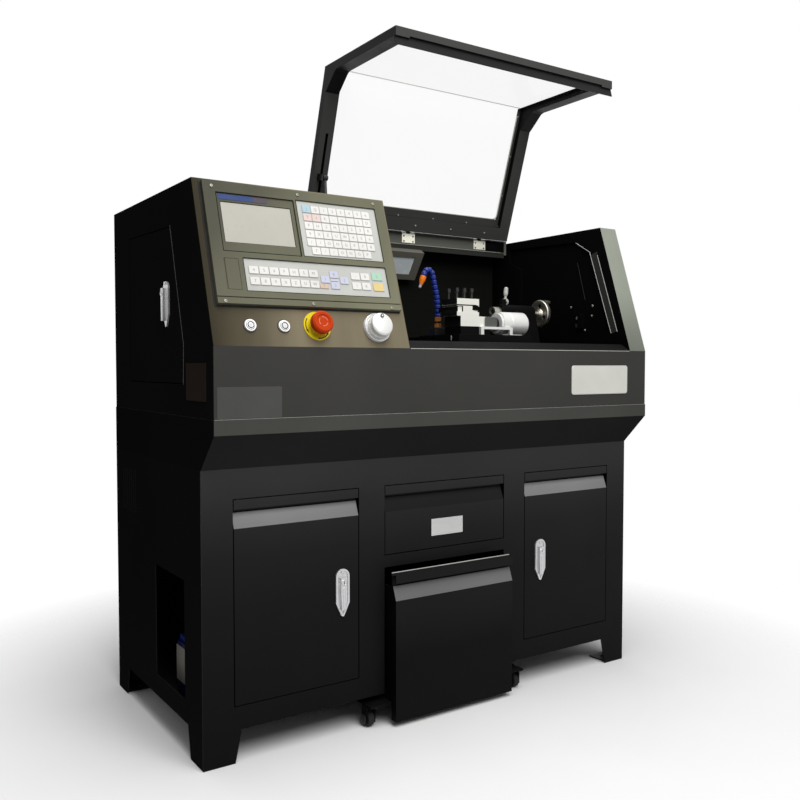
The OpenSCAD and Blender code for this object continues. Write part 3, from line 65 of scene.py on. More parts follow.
def drawing(node):
    """A solid's lowest and highest corner in drawing millimetres: the row point less the corner, times 1000."""
    lo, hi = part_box(node)
    return [(np.array(c) - np.array([corner.x, corner.y, 0.0])) * 1000 for c in (lo, hi)]


print("cabinet corner at", tuple(round(c, 4) for c in corner))

# %% [markdown]
# Most pieces sit on a flat face: the slanted control panel, the front, the left side, the right wall. A face is
# described once, by a point on it and its two directions; the third direction is their cross product and points
# out of the metal. A screw is then "so far along, so far up, so far out", on whichever face it sits. SLANT is the
# control panel, FRONT the panel below it, BASE the cupboard's front, BEAM the housing's front beam, BLOCK the tool
# block and SADDLE the carriage; LEFT, WALL, RIGHT and BACK are named after where they stand.

# %% Faces of the machine
cabinet_w, cabinet_depth, wall_x = 1160, 547, 1103
beam_y, block_y, saddle_y = 406.5, 60, 74
front_y = drawing("front_panel")[0][1]
top_z = drawing("control_box_shell")[1][2]
slant_foot_z = 811.0
slant_top_y = 38.0
slant = math.atan2(slant_top_y - front_y, top_z - slant_foot_z)


def face(point, along, up):
    """A flat face as (point, along, up, out), where out = along x up."""
    along, up = np.asarray(along, float), np.asarray(up, float)
    return np.asarray(point, float), along, up, np.cross(along, up)


def on(plane, local):
    """Points given as (along, up, out) on a face: point + along * a + up * u + out * o."""
    point, along, up, out = plane
    q = np.asarray(local, float).reshape(-1, 3)
    return point + q[:, :1] * along + q[:, 1:2] * up + q[:, 2:] * out


def frontal(y):
    """An upright face at a depth y that looks to the front."""
    return face((0, y, 0), (1, 0, 0), (0, 0, 1))


SLANT = face((0, front_y, slant_foot_z), (1, 0, 0), (0, math.sin(slant), math.cos(slant)))
FRONT, BASE, BEAM, BLOCK, SADDLE = (frontal(y) for y in (front_y, 0, beam_y, block_y, saddle_y))
LEFT = face((0, 0, 0), (0, -1, 0), (0, 0, 1))
WALL = face((wall_x, 0, 0), (0, -1, 0), (0, 0, 1))
RIGHT = face((cabinet_w, 0, 0), (0, 1, 0), (0, 0, 1))
BACK = face((0, cabinet_depth, 0), (-1, 0, 0), (0, 0, 1))
print("the control panel leans back", round(math.degrees(slant), 2), "degrees")

# %% [markdown]
# A mesh is a list of points and a list of faces. Each helper below works out whole arrays of points from a formula
# and returns them with their faces; `build` joins such parts into one object, welds what touches, turns all faces
# outwards, and marks edges sharper than 35 degrees as creases, so that round parts look round and corners crisp.
# A face with many corners is the flat end of a turned part or the top of a plate, and is shaded flat.

# %% Joining parts into an object
weld = 2e-6
most_round_corners = 8


def build(name, parts, finishes, body, crease=35):
    """One object from parts (points in drawing mm, faces, finish number): points are stacked, faces shifted."""
    points, faces, numbers, shift = [], [], [], 0
    for p, f, number in parts:
        points.append(np.asarray(p, float).reshape(-1, 3))
        faces += [[int(i) + shift for i in quad] for quad in f]
        numbers += [number] * len(f)
        shift += len(points[-1])
    mesh = bpy.data.meshes.new(name)
    mesh.from_pydata(metres(np.concatenate(points)).tolist(), [], faces)
    mesh.polygons.foreach_set("material_index", np.array(numbers, np.int32))
    bm = bmesh.new()
    bm.from_mesh(mesh)
    bmesh.ops.remove_doubles(bm, verts=bm.verts, dist=weld)
    bmesh.ops.recalc_face_normals(bm, faces=bm.faces)
    bm.to_mesh(mesh)
    bm.free()
    mesh.shade_smooth()
    mesh.set_sharp_from_angle(angle=math.radians(crease))
    corners = np.empty(len(mesh.polygons), np.int32)
    mesh.polygons.foreach_get("loop_total", corners)
    mesh.polygons.foreach_set("use_smooth", corners <= most_round_corners)
    for finish in finishes:
        mesh.materials.append(finish)
    made = bpy.data.objects.new(name, mesh)
    bpy.context.scene.collection.objects.link(made)
    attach(made, body)
    print(f"{name}: {len(mesh.polygons)} faces on {body}")
    return made


def rows_of_quads(rows, cols, closed):
    """Quads between neighbouring rows of a grid of points; closed joins the last column to the first."""
    i, j = np.meshgrid(np.arange(rows - 1), np.arange(cols if closed else cols - 1), indexing="ij")
    a, b = i * cols + j, i * cols + (j + 1) % cols
    return np.stack([a, b, b + cols, a + cols], -1).reshape(-1, 4)


def turned(plane, at, profile, finish=0, steps=40):
    """A turned part on a face: each profile point (radius r, height h) becomes (at + r cos t, at + r sin t, h)."""
    r, h = np.asarray(profile, float).T
    t = np.linspace(0, 2 * math.pi, steps, endpoint=False)
    local = np.stack([at[0] + np.outer(r, np.cos(t)), at[1] + np.outer(r, np.sin(t)),
                      np.outer(h, np.ones(steps))], -1)
    caps = [list(range(steps)), [(len(r) - 1) * steps + k for k in range(steps)]]
    faces = rows_of_quads(len(r), steps, True).tolist() + [c for c, k in zip(caps, (0, -1)) if r[k] > 1e-6]
    return on(plane, local), faces, finish


def rounded(x0, y0, x1, y1, r, n=4):
    """A rectangle with quarter-circle corners: each corner's centre + r (cos t, sin t), n steps a corner."""
    t = np.linspace(0, math.pi / 2, n + 1)
    corners = [(x1 - r, y1 - r, 0), (x0 + r, y1 - r, 1), (x0 + r, y0 + r, 2), (x1 - r, y0 + r, 3)]
    return np.concatenate([np.stack([cx + r * np.cos(t + q * math.pi / 2), cy + r * np.sin(t + q * math.pi / 2)], -1)
                           for cx, cy, q in corners])


def slab(plane, x0, y0, x1, y1, z0, z1, r=2.0, edge=0.5, finish=0, n=4):
    """A plate with round corners and a rolled top edge: outlines inset by edge (1 - cos t), lifted by edge sin t."""
    t = np.linspace(0, math.pi / 2, 4)
    insets, heights = np.append(0, edge * (1 - np.cos(t))), np.append(z0, z1 - edge + edge * np.sin(t))
    rings = [np.column_stack([rounded(x0 + i, y0 + i, x1 - i, y1 - i, max(r - i, 0.05), n),
                              np.full(4 * (n + 1), h)]) for i, h in zip(insets, heights)]
    cols = len(rings[0])
    faces = rows_of_quads(len(rings), cols, True).tolist()
    faces += [list(range(cols)), list(range((len(rings) - 1) * cols, len(rings) * cols))]
    return on(plane, np.concatenate(rings)), faces, finish


def strip(plane, line, wide, z0, z1, finish=0):
    """A flat strip on a face along (along, up) points: each point is moved half the width to both sides."""
    line = np.asarray(line, float)
    way = np.gradient(line, axis=0)
    way /= np.linalg.norm(way, axis=1)[:, None]
    side = np.stack([-way[:, 1], way[:, 0]], -1) * wide / 2
    n = len(line)
    local = [np.column_stack([line + k * side, np.full(n, z)]) for k, z in ((1, z0), (1, z1), (-1, z1), (-1, z0))]
    faces = rows_of_quads(4, n, False).tolist() + [[k, k + 1, 3 * n + k + 1, 3 * n + k] for k in range(n - 1)]
    faces += [[0, n, 2 * n, 3 * n], [n - 1, 2 * n - 1, 3 * n - 1, 4 * n - 1]]
    return on(plane, np.concatenate(local)), faces, finish


def circle(r, n):
    """A circle's outline: r (cos t, sin t)."""
    t = np.linspace(0, 2 * math.pi, n, endpoint=False)
    return np.stack([r * np.cos(t), r * np.sin(t)], -1)


print("mesh helpers ready: turned, slab, strip")

# %% [markdown]
# Finishes. Cabinets of this kind are powder coated: a sprayed plastic film with a fine orange-peel skin, slightly
# uneven gloss, and dust that dulls flat places. In nodes that is one broad noise for the tone, a middle one for the
# gloss and a fine one for the bump. The Bevel node rounds the light on sheet edges, where a real fold has a radius
# that the solid leaves sharp. All patterns read Object coordinates, so they stay on the metal when it moves.
# A coat can have a second tone for the sides that face one way, which is where the surface normal's product with a
# given direction passes a limit: painted light on faces turned to the lamps, painted shade on faces turned away,
# so that one paint shows as a lit and a shaded copy. It can also fade along a direction: a Color Ramp over the
# position's product with that direction, in millimetres, so a wide plate is painted deeper in tone at one end than
# at the other, a painted gradient of light and shade.

# %% Finish recipes
def shader(name):
    """A new material with only its Principled shader: returns the material, its node tree and the shader."""
    made = bpy.data.materials.new(name)
    made.use_nodes = True
    return made, made.node_tree, made.node_tree.nodes["Principled BSDF"]


def noise(tree, scale, detail=3.0, stretch=(1, 1, 1), rough=0.5):
    """A noise pattern on Object coordinates, stretched by a Mapping node; returns the noise node."""
    where, move, made = (tree.nodes.new("ShaderNode" + k) for k in ("TexCoord", "Mapping", "TexNoise"))
    move.inputs["Scale"].default_value = stretch
    made.inputs["Scale"].default_value = scale
    made.inputs["Detail"].default_value = detail
    made.inputs["Roughness"].default_value = rough
    tree.links.new(where.outputs["Object"], move.inputs["Vector"])
    tree.links.new(move.outputs["Vector"], made.inputs["Vector"])
    return made


def spread(tree, source, low, high, start=0.3, end=0.7):
    """A pattern's value carried from start..end to low..high; returns the output socket."""
    made = tree.nodes.new("ShaderNodeMapRange")
    for key, value in (("From Min", start), ("From Max", end), ("To Min", low), ("To Max", high)):
        made.inputs[key].default_value = value
    tree.links.new(source, made.inputs["Value"])
    return made.outputs["Result"]


def tones(tree, source, stops):
    """A pattern's value turned into colours by a ramp of (place, colour) stops; returns the output socket."""
    made = tree.nodes.new("ShaderNodeValToRGB")
    made.color_ramp.elements[0].position, made.color_ramp.elements[1].position = stops[0][0], stops[-1][0]
    for place, _ in stops[1:-1]:
        made.color_ramp.elements.new(place)
    for element, (_, colour) in zip(made.color_ramp.elements, stops):
        element.color = (*colour, 1)
    tree.links.new(source, made.inputs["Fac"])
    return made.outputs["Color"]


def relief(tree, bsdf, source, depth, fold=0.0):
    """Bump from a pattern, in metres of depth, over edges rounded to a radius of fold metres."""
    bump = tree.nodes.new("ShaderNodeBump")
    bump.inputs["Distance"].default_value = depth
    bump.inputs["Strength"].default_value = 1.0
    tree.links.new(source, bump.inputs["Height"])
    if fold:
        edge = tree.nodes.new("ShaderNodeBevel")
        edge.samples = 4
        edge.inputs["Radius"].default_value = fold
        tree.links.new(edge.outputs["Normal"], bump.inputs["Normal"])
    tree.links.new(bump.outputs["Normal"], bsdf.inputs["Normal"])


def facing(tree, base, direction, there, least):
    """Another colour where the surface's own normal n leans along a direction d, which is where n . d > least."""
    where, lean, mix = (tree.nodes.new("ShaderNode" + k) for k in ("TexCoord", "VectorMath", "Mix"))
    lean.operation, mix.data_type = "DOT_PRODUCT", "RGBA"
    lean.inputs[1].default_value = direction
    tree.links.new(where.outputs["Normal"], lean.inputs[0])
    tree.links.new(spread(tree, lean.outputs["Value"], 0, 1, least - 0.01, least + 0.01), mix.inputs["Factor"])
    tree.links.new(base, mix.inputs[6])
    tree.links.new(there, mix.inputs[7])
    return mix.outputs[2]


def faded(tree, base, axis, places):
    """A colour times a factor that runs between (place, factor) stops; a place is p . axis, p in millimetres."""
    where, run, times = (tree.nodes.new("ShaderNode" + k) for k in ("TexCoord", "VectorMath", "VectorMath"))
    run.operation, times.operation = "DOT_PRODUCT", "MULTIPLY"
    run.inputs[1].default_value = axis
    tree.links.new(where.outputs["Object"], run.inputs[0])
    start, end = places[0][0], places[-1][0]
    shift = float(np.dot([corner.x, corner.y, 0], axis))
    along = spread(tree, run.outputs["Value"], 0, 1, start / 1000 + shift, end / 1000 + shift)
    ramp = tones(tree, along, [((place - start) / (end - start), (k, k, k)) for place, k in places])
    tree.links.new(base, times.inputs[0])
    tree.links.new(ramp, times.inputs[1])
    return times.outputs["Vector"]


def powder_coat(name, colour, gloss=(0.34, 0.46), specular=0.4, swing=0.12, fold=0.0012, grain=(1, 1, 1), sides=(),
                fade=()):
    """Sprayed coat: tone = colour x (1 +- swing) by broad noise, roughness by middle noise, orange peel by fine
    noise. Each of sides is (direction, colour, least): faces that lean that way take that colour, equally uneven,
    which paints light on faces turned to the lamps and shade on faces turned away. A fade is (axis, stops): the
    tone times a factor along an axis, mostly a painted gradient of light and shade across the coat."""
    made, tree, bsdf = shader(name)
    cloud = noise(tree, 2.2, 5, grain).outputs["Fac"]

    def uneven(tone):
        return tones(tree, cloud, [(0.3, np.array(tone) * (1 - swing)), (0.7, np.array(tone) * (1 + swing))])

    shade = uneven(colour)
    for direction, other, least in sides:
        shade = facing(tree, shade, direction, uneven(other), least)
    if fade:
        shade = faded(tree, shade, *fade)
    tree.links.new(shade, bsdf.inputs["Base Color"])
    tree.links.new(spread(tree, noise(tree, 14, 4).outputs["Fac"], *gloss), bsdf.inputs["Roughness"])
    bsdf.inputs["Specular IOR Level"].default_value = specular
    relief(tree, bsdf, noise(tree, 620, 2).outputs["Fac"], 0.00004, fold)
    return made


def machined(name, colour, gloss=(0.2, 0.34), grain=(1, 1, 1), scale=90, metallic=1.0, fold=0.0006):
    """Cut or ground metal: broad noise for tone, fine noise stretched along the tool's way for gloss and grooves."""
    made, tree, bsdf = shader(name)
    colour = np.array(colour)
    lines = noise(tree, scale, 4, grain, 0.6)
    broad = noise(tree, 6, 3)
    shade = tones(tree, broad.outputs["Fac"], [(0.3, colour * 0.86), (0.7, np.minimum(colour * 1.08, 1))])
    tree.links.new(shade, bsdf.inputs["Base Color"])
    tree.links.new(spread(tree, lines.outputs["Fac"], *gloss), bsdf.inputs["Roughness"])
    bsdf.inputs["Metallic"].default_value = metallic
    relief(tree, bsdf, lines.outputs["Fac"], 0.00003, fold)
    return made


def moulded(name, colour, gloss=(0.35, 0.5), swing=0.06, grain=900, depth=0.00002, specular=0.5):
    """Moulded plastic or rubber: even colour with a faint broad swing, and a fine matt grain."""
    made, tree, bsdf = shader(name)
    colour = np.array(colour)
    shade = tones(tree, noise(tree, 9, 3).outputs["Fac"],
                  [(0.3, colour * (1 - swing)), (0.7, np.minimum(colour * (1 + swing), 1))])
    tree.links.new(shade, bsdf.inputs["Base Color"])
    tree.links.new(spread(tree, noise(tree, 40, 3).outputs["Fac"], *gloss), bsdf.inputs["Roughness"])
    bsdf.inputs["Specular IOR Level"].default_value = specular
    relief(tree, bsdf, noise(tree, grain, 2).outputs["Fac"], depth)
    return made


def see_through(name, colour, alpha, gloss=0.06):
    """Clear sheet: mostly transparent, with a faint tint and a polished skin that a smear pattern dulls."""
    made, tree, bsdf = shader(name)
    bsdf.inputs["Base Color"].default_value = (*colour, 1)
    bsdf.inputs["Alpha"].default_value = alpha
    tree.links.new(spread(tree, noise(tree, 5, 4).outputs["Fac"], gloss, gloss + 0.08), bsdf.inputs["Roughness"])
    return made


# %% The finishes of this machine
lean, pull, under, guard_under = ((0, -math.cos(slant), math.sin(slant)), (0, -0.939, 0.344), (0, -0.72, -0.69),
                                  (0, -0.951, -0.309))
left, right, back, up = (-1, 0, 0), (1, 0, 0), (0, 1, 0), (0, 0, 1)
# black and dim are tones given to faces turned from the lamps, painted shade; black is also the right wall's own
# paint
black, dim = (0.0035,) * 3, (0.02,) * 3
# Painted shade: the cabinet's coat is painted darker towards the floor, by height
painted_shade_by_height = [(60, 0.12), (300, 0.21), (400, 0.32), (450, 0.45), (500, 0.6), (575, 1.0)]
# Cabinet front: the door pulls' upward slopes are painted pale, a painted reflection of the lamp above; its left
# faces are painted black, painted shade; and the coat is painted darker towards the floor
coat_base = powder_coat("cabinet black", (0.047,) * 3, specular=0.04, gloss=(0.34, 0.5),
                        sides=[(pull, (0.5,) * 3, 0.975), (left, black, 0.9)], fade=(up, painted_shade_by_height))
# Drawer: its pull slope is painted darker, painted shade, and the coat is painted darker towards the floor
coat_drawer = powder_coat("drawer black", (0.047,) * 3, specular=0.04, gloss=(0.34, 0.5),
                          sides=[(pull, (0.031,) * 3, 0.975)], fade=(up, painted_shade_by_height))
# Cart: its pull slope is painted pale, a painted reflection of the lamp above; its left faces are painted black and
# its coat darker low down, painted shade
coat_cart = powder_coat("cart black", (0.014,) * 3, specular=0.03, gloss=(0.4, 0.5),
                        sides=[(pull, (0.17,) * 3, 0.975), (left, black, 0.9)],
                        fade=(up, [(150, 0.42), (250, 0.9), (300, 1.0)]))
# The cabinet's side and back wrap is painted darker than its front, the left faces darkest: painted shade
coat_side = powder_coat("side black", dim, gloss=(0.6, 0.75), specular=0.0, sides=[(left, (0.009,) * 3, 0.9)])
# Front panel: its upward faces and its left faces are painted near black: painted shade
coat_front = powder_coat("front panel grey", (0.052, 0.051, 0.047), gloss=(0.42, 0.55), specular=0.03,
                         sides=[(up, (0.008,) * 3, 0.7), (left, (0.0018,) * 3, 0.9)])
# Tray: its sloping underside and its left, back and right faces are painted darker: painted shade
coat_tray = powder_coat("tray grey", (0.074, 0.074, 0.068), gloss=(0.5, 0.65), specular=0.0,
                        sides=[(under, (0.027,) * 3, 0.9), (left, (0.008,) * 3, 0.9), (back, dim, 0.9),
                               (right, dim, 0.9)])
# Control box: its slope is painted a lit olive tone, painted light, darker towards its left edge; its back, top and
# left faces take their own painted tones of shade on the black paint
coat_slant = powder_coat("control panel black with painted light", (0.012,) * 3, gloss=(0.42, 0.56), specular=0.0, grain=(6, 1, 1),
                         sides=[(lean, (0.21, 0.18, 0.12), 0.98), (back, dim, 0.9), (up, (0.012,) * 3, 0.9),
                                (left, (0.04,) * 3, 0.9)],
                         fade=((1, 0, 0), [(0, 0.22), (14, 0.26), (50, 0.4), (110, 0.56), (180, 1.0), (265, 0.88),
                                           (430, 0.88)]))
# Right wall: its slope is painted a lit grey tone, painted light, darker low down; its right and back faces take a
# dim painted tone
coat_wall = powder_coat("right wall black with painted light", black, gloss=(0.42, 0.56), specular=0.004,
                        sides=[(lean, (0.29, 0.31, 0.26), 0.98), (right, dim, 0.9), (back, dim, 0.9)],
                        fade=(up, [(811, 0.62), (880, 0.78), (960, 1.0)]))
# Pale grey for strips along seams and edges: painted highlights
highlight_grey = powder_coat("painted highlight grey", (0.5, 0.5, 0.48), specular=0.1)
# Pale grey for strips along folds and lips: painted highlights
fold_highlight_grey = powder_coat("painted fold highlight", (0.42, 0.43, 0.38), specular=0.2)
# Inside the housing: the beam's front is painted lighter, painted light, and the coat is painted almost black further
# back, painted shade; faces turning left and back take their own painted tones
coat_inside = powder_coat("inside black", (0.13, 0.133, 0.115), gloss=(0.45, 0.6), specular=0.004,
                          sides=[(left, (0.1,) * 3, 0.9), (back, (0.28,) * 3, 0.9)],
                          fade=((0, 1, 0), [(425, 1.0), (440, 0.07), (560, 0.07)]))
# Side door: painted near black, painted shade on the left side
coat_door = powder_coat("side door black", (0.009,) * 3, gloss=(0.6, 0.75), specular=0.0)
# Guard: its left faces are painted darker, painted shade, and its undersides lighter, painted light thrown up from
# the floor
coat_guard = powder_coat("guard black", (0.014,) * 3, specular=0.06,
                         sides=[(left, (0.004,) * 3, 0.9), (guard_under, (0.05, 0.05, 0.048), 0.9)])
# Bezel: its fade is painted light and shade, darker towards its upper left and lighter towards its lower right
bezel_skin = powder_coat("bezel olive", (0.26, 0.256, 0.172), gloss=(0.34, 0.44), specular=0.1, fold=0.0016,
                         grain=(3, 1, 1), fade=((0.7, 0, -0.7), [(-766, 0.19), (-700, 0.23), (-640, 0.38),
                                                                 (-585, 0.45), (-535, 0.5), (-440, 0.55),
                                                                 (-346, 0.7)]))
screw_olive = machined("olive screw", (0.3, 0.29, 0.24), gloss=(0.35, 0.5), metallic=0.6)
screen_skin = moulded("display", (0.425, 0.41, 0.36), gloss=(0.25, 0.35), specular=0.15, swing=0.04)
pad_skin = moulded("keypad foil", (0.48, 0.485, 0.455), gloss=(0.4, 0.5), specular=0.15)
key_white = moulded("key white", (0.69, 0.685, 0.655), gloss=(0.35, 0.45), specular=0.2)
key_blue, key_orange, key_green, key_amber, key_pale_blue, key_pink = (
    moulded("key " + name, colour, specular=0.2) for name, colour in (
        ("blue", (0.36, 0.52, 0.6)), ("orange", (0.6, 0.45, 0.36)), ("green", (0.36, 0.57, 0.43)),
        ("amber", (0.66, 0.52, 0.23)), ("pale blue", (0.52, 0.54, 0.66)), ("pink", (0.66, 0.54, 0.5))))
key_line = moulded("key frame grey", (0.42, 0.39, 0.38), specular=0.15)
key_ink = moulded("key ink", (0.3, 0.26, 0.27), specular=0.15)
ink_black = moulded("black ink", (0.02,) * 3, specular=0.15)
strip_blue = moulded("strip blue", (0.025, 0.05, 0.16), specular=0.15)
strip_grey = moulded("strip grey", (0.07, 0.055, 0.07), specular=0.15)
sticker_brown = moulded("brown sticker", (0.03, 0.021, 0.019), specular=0.0)
nozzle_grey = moulded("nozzle tip grey", (0.35, 0.3, 0.35))
steel = machined("ground steel", (0.4, 0.4, 0.385), gloss=(0.36, 0.5))
# The tool block is milled steel up to its top face, and the clamp screws that stand on it are blackened; its faces
# that turn left are painted black, as painted shade
cream_steel = powder_coat("milled steel", (0.86, 0.85, 0.78), gloss=(0.4, 0.55), specular=0.3, swing=0.04,
                          fold=0.0006, sides=[(left, black, 0.9)],
                          fade=(up, [(860, 1), (932.8, 1), (933.2, 0.02), (960, 0.02)]))
shade_black = powder_coat("shaded black", (0.004,) * 3, specular=0.02)
worn_steel = machined("oiled steel", (0.5, 0.48, 0.42), gloss=(0.3, 0.45))
# Dark grey for the band in the wall's recess, and for the painted shade below the housing's beam
band_and_shade_grey = powder_coat("recess band grey and painted shade", (0.03, 0.031, 0.027), specular=0.05)
grey_block = powder_coat("phosphated block", (0.1, 0.107, 0.1), specular=0.1)
amber_brown = moulded("valve amber", (0.34, 0.13, 0.02), specular=0.3)
hinge_zinc = machined("yellow zinc", (0.99, 0.94, 0.8), gloss=(0.4, 0.55), metallic=0.9)
steel_dark = machined("blackened steel", (0.04,) * 3, gloss=(0.35, 0.5))
aluminium = machined("turned aluminium", (0.76, 0.76, 0.74), gloss=(0.34, 0.46), grain=(14, 1, 1), metallic=0.35)
chrome = machined("satin chrome", (0.6, 0.6, 0.61), gloss=(0.24, 0.34), scale=14, metallic=0.7)
casting = powder_coat("casting paint", (0.004,) * 3, gloss=(0.35, 0.5), specular=0.03, fold=0.002)
lever_grey = moulded("lever grey", (0.5, 0.5, 0.47), specular=0.3)
rubber = moulded("black rubber", (0.015,) * 3, gloss=(0.6, 0.8), specular=0.2)
plastic_black = moulded("black plastic", (0.015,) * 3, specular=0.2)
lamp_metal = powder_coat("lamp frame brown", (0.15, 0.145, 0.12), gloss=(0.4, 0.5), specular=0.15)
stop_red = moulded("stop red", (0.48, 0.045, 0.006), gloss=(0.3, 0.4), specular=0.06)
stop_mark = moulded("stop arrows", (0.62, 0.2, 0.14), specular=0.06)
stop_yellow = moulded("stop yellow", (0.74, 0.58, 0.01), gloss=(0.3, 0.4), specular=0.2)
hose_blue = moulded("hose blue", (0.008, 0.024, 0.21), gloss=(0.25, 0.35), specular=0.3)
hose_orange = moulded("nozzle orange", (0.85, 0.2, 0.015), gloss=(0.3, 0.4), specular=0.3)
plate_silver = machined("brushed plate", (0.55, 0.55, 0.54), gloss=(0.35, 0.5), grain=(1, 30, 30), scale=60)
plate_white = moulded("white enamel plate", (0.73, 0.73, 0.67), gloss=(0.35, 0.5), specular=0.15)
# Grey for the front sticker, and for a painted highlight along the side door's edge
sticker_and_highlight_grey = moulded("grey sticker and painted highlight", (0.08, 0.08, 0.077), gloss=(0.45, 0.6), specular=0.05)
lamp_skin = moulded("lamp glass", (0.86, 0.93, 0.99), gloss=(0.2, 0.3), specular=0.9)
pump_blue = powder_coat("pump blue", (0.01, 0.018, 0.13), specular=0.1,
                        fade=(up, [(60, 0.12), (180, 0.12), (190, 1.0), (300, 1.0)]))
pump_label = moulded("pump label", (0.2, 0.19, 0.17), specular=0.1)
clear = see_through("clear polycarbonate", (0.92, 0.95, 0.95), 0.06)
print("finishes:", len(bpy.data.materials))

# %% [markdown]
# Each solid of the frame keeps its shape and gets the finish of the real part. One table says which.

# %% Finishes onto the solids
wears = {
    coat_base: ["base_front_frame", "left_door", "right_door"],
    coat_drawer: ["drawer"],
    coat_cart: ["chip_cart"],
    coat_side: ["base_wrap", "base_inner_panels"],
    coat_tray: ["chip_tray"],
    coat_front: ["front_panel"],
    coat_slant: ["control_box_shell"],
    coat_wall: ["right_wall_box"],
    coat_inside: ["rear_housing"],
    coat_door: ["side_door"],
    coat_guard: ["lid_frame"],
    bezel_skin: ["controller_bezel", "memory_door"],
    screen_skin: ["screen_glass"],
    pad_skin: ["membrane_keys"],
    steel: ["spindle", "chuck_body", "z_screw", "x_screw"],
    worn_steel: ["tailstock_quill", "tailstock_handwheel"],
    cream_steel: ["gang_tool_block"],
    hinge_zinc: ["lid_hinges"],
    lever_grey: ["tailstock_lever"],
    steel_dark: ["chuck_jaw_1", "chuck_jaw_2", "chuck_jaw_3", "motor_pulley", "drill_chuck", "gas_spring_rod"],
    aluminium: ["drill_head", "hand_dial", "panel_rings"],
    chrome: ["left_door_latch", "right_door_latch", "side_door_latch", "start_button", "stop_button"],
    casting: ["castor_fork_left", "castor_fork_right", "machine_bed", "headstock", "carriage", "cross_slide",
              "tailstock_body"],
    plastic_black: ["drive_motors", "gas_spring_tube"],
    lamp_metal: ["work_lamp"],
    rubber: ["drive_belt", "castor_wheel_left", "castor_wheel_right", "rear_wheels"],
    stop_red: ["estop_cap"],
    hose_blue: ["coolant_hose"],
    lamp_skin: ["lamp_glass"],
    pump_blue: ["lube_pump"],
    clear: ["lid_window"],
}
for finish, names in wears.items():
    for name in names:
        nodes[name].data.materials.clear()
        nodes[name].data.materials.append(finish)
bare = sorted(set(nodes) - {n for names in wears.values() for n in names})
print("solids without a finish:", bare)

# %% [markdown]
# Screws hold every cover of a machine like this, and a learner soon sees that a bare panel looks like a toy. A screw
# head could be a cylinder with a boolean cut, but a head is really a ring whose radius changes with height, and its
# recess is the same ring with four lobes. So one grid makes all of it: height along one way, angle along the other.

# %% A screw head
def screw(plane, at, r, lobes=4, steps=24):
    """A domed head with a lobed recess: ring k is r q_k (1 + d_k cos(lobes t)) wide, at a height of r h_k."""
    q, h, d = np.array([(1, 0, 0), (1, 0.3, 0), (0.86, 0.52, 0), (0.62, 0.6, 0), (0.42, 0.6, 0.35),
                        (0.36, 0.2, 0.35)]).T
    t = np.linspace(0, 2 * math.pi, steps, endpoint=False)
    width = r * q[:, None] * (1 + d[:, None] * np.cos(lobes * t))
    local = np.stack([at[0] + width * np.cos(t), at[1] + width * np.sin(t),
                      at[2] + r * h[:, None] + np.zeros(steps)], -1)
    faces = rows_of_quads(len(q), steps, True).tolist()
    faces += [list(range(steps)), list(range((len(q) - 1) * steps, len(q) * steps))]
    return on(plane, local), faces, 0


def screws(name, plane, places, r, finish, body):
    """Screw heads of one size at several (along, up, out) places on a face, as one piece."""
    return build(name, [screw(plane, p, r) for p in places], [finish], body)


bezel_top = 10.0
bezel_holes = [(35, 318.5), (218, 320.5), (397, 320), (32, 84), (215, 85.5), (398, 84)]
screws("bezel_screws", SLANT, [(x, s, bezel_top) for x, s in bezel_holes], 3.4, screw_olive, "cabinet")

# %% [markdown]
# The control's face is a frame with a display and two foil keypads. Foil keys are blisters pressed in a printed
# polyester sheet: each has a thin printed frame, a pale cap and a small mark. The caps are one function called over
# a list of rows, so the grid reads like a table. Marks are plain digits, axis letters and signs, which every such
# control has.

# %% Foil keys
foil_top = 8.8
key_rows = [
    # first key's corner, columns, rows, pitch, size
    ((225, 211.5), 8, 5, (20, 18.2), (17.5, 15)),
    ((233, 193.3), 7, 1, (20, 18.2), (17.5, 15)),
    ((89, 121), 7, 2, (21.3, 22.5), (18.5, 14.5)),
    ((242, 133), 2, 1, (44, 20), (18, 13.5)),
    ((263.5, 121), 1, 2, (19, 23.5), (18, 13.5)),
    ((238, 121), 1, 1, (19, 20), (17, 9)),
    ((313, 122.5), 2, 2, (23, 21.3), (19.5, 14.5)),
    ((363, 121.5), 1, 2, (22, 23.5), (24, 16.5)),
]
keys = [(round(x + i * px, 1), round(s + j * ps, 1), w, h) for (x, s), n, m, (px, ps), (w, h) in key_rows
        for j in range(m) for i in range(n)]
tints = {(225, 284.3): 1, (238, 121): 2, (363, 145): 3, (363, 121.5): 4, (242, 133): 5, (286, 133): 5,
         (263.5, 121): 5, (263.5, 144.5): 5, (225, 266.1): 6, (245, 266.1): 6}
caps, frames = [], []
for x, s, w, h in keys:
    frames.append(slab(SLANT, x - 1.2, s - 1.2, x + w + 1.2, s + h + 1.2, foil_top - 0.85, foil_top - 0.1, 1.6, 0.1))
    caps.append(slab(SLANT, x - 0.4, s - 0.4, x + w + 0.4, s + h + 0.4, foil_top - 0.3, foil_top + 0.55, 1.6, 0.35,
                     tints.get((x, s), 0), 3))
build("key_frames", frames, [key_line], "cabinet")
build("key_caps", caps, [key_white, key_blue, key_orange, key_green, key_amber, key_pale_blue, key_pink],
      "cabinet")


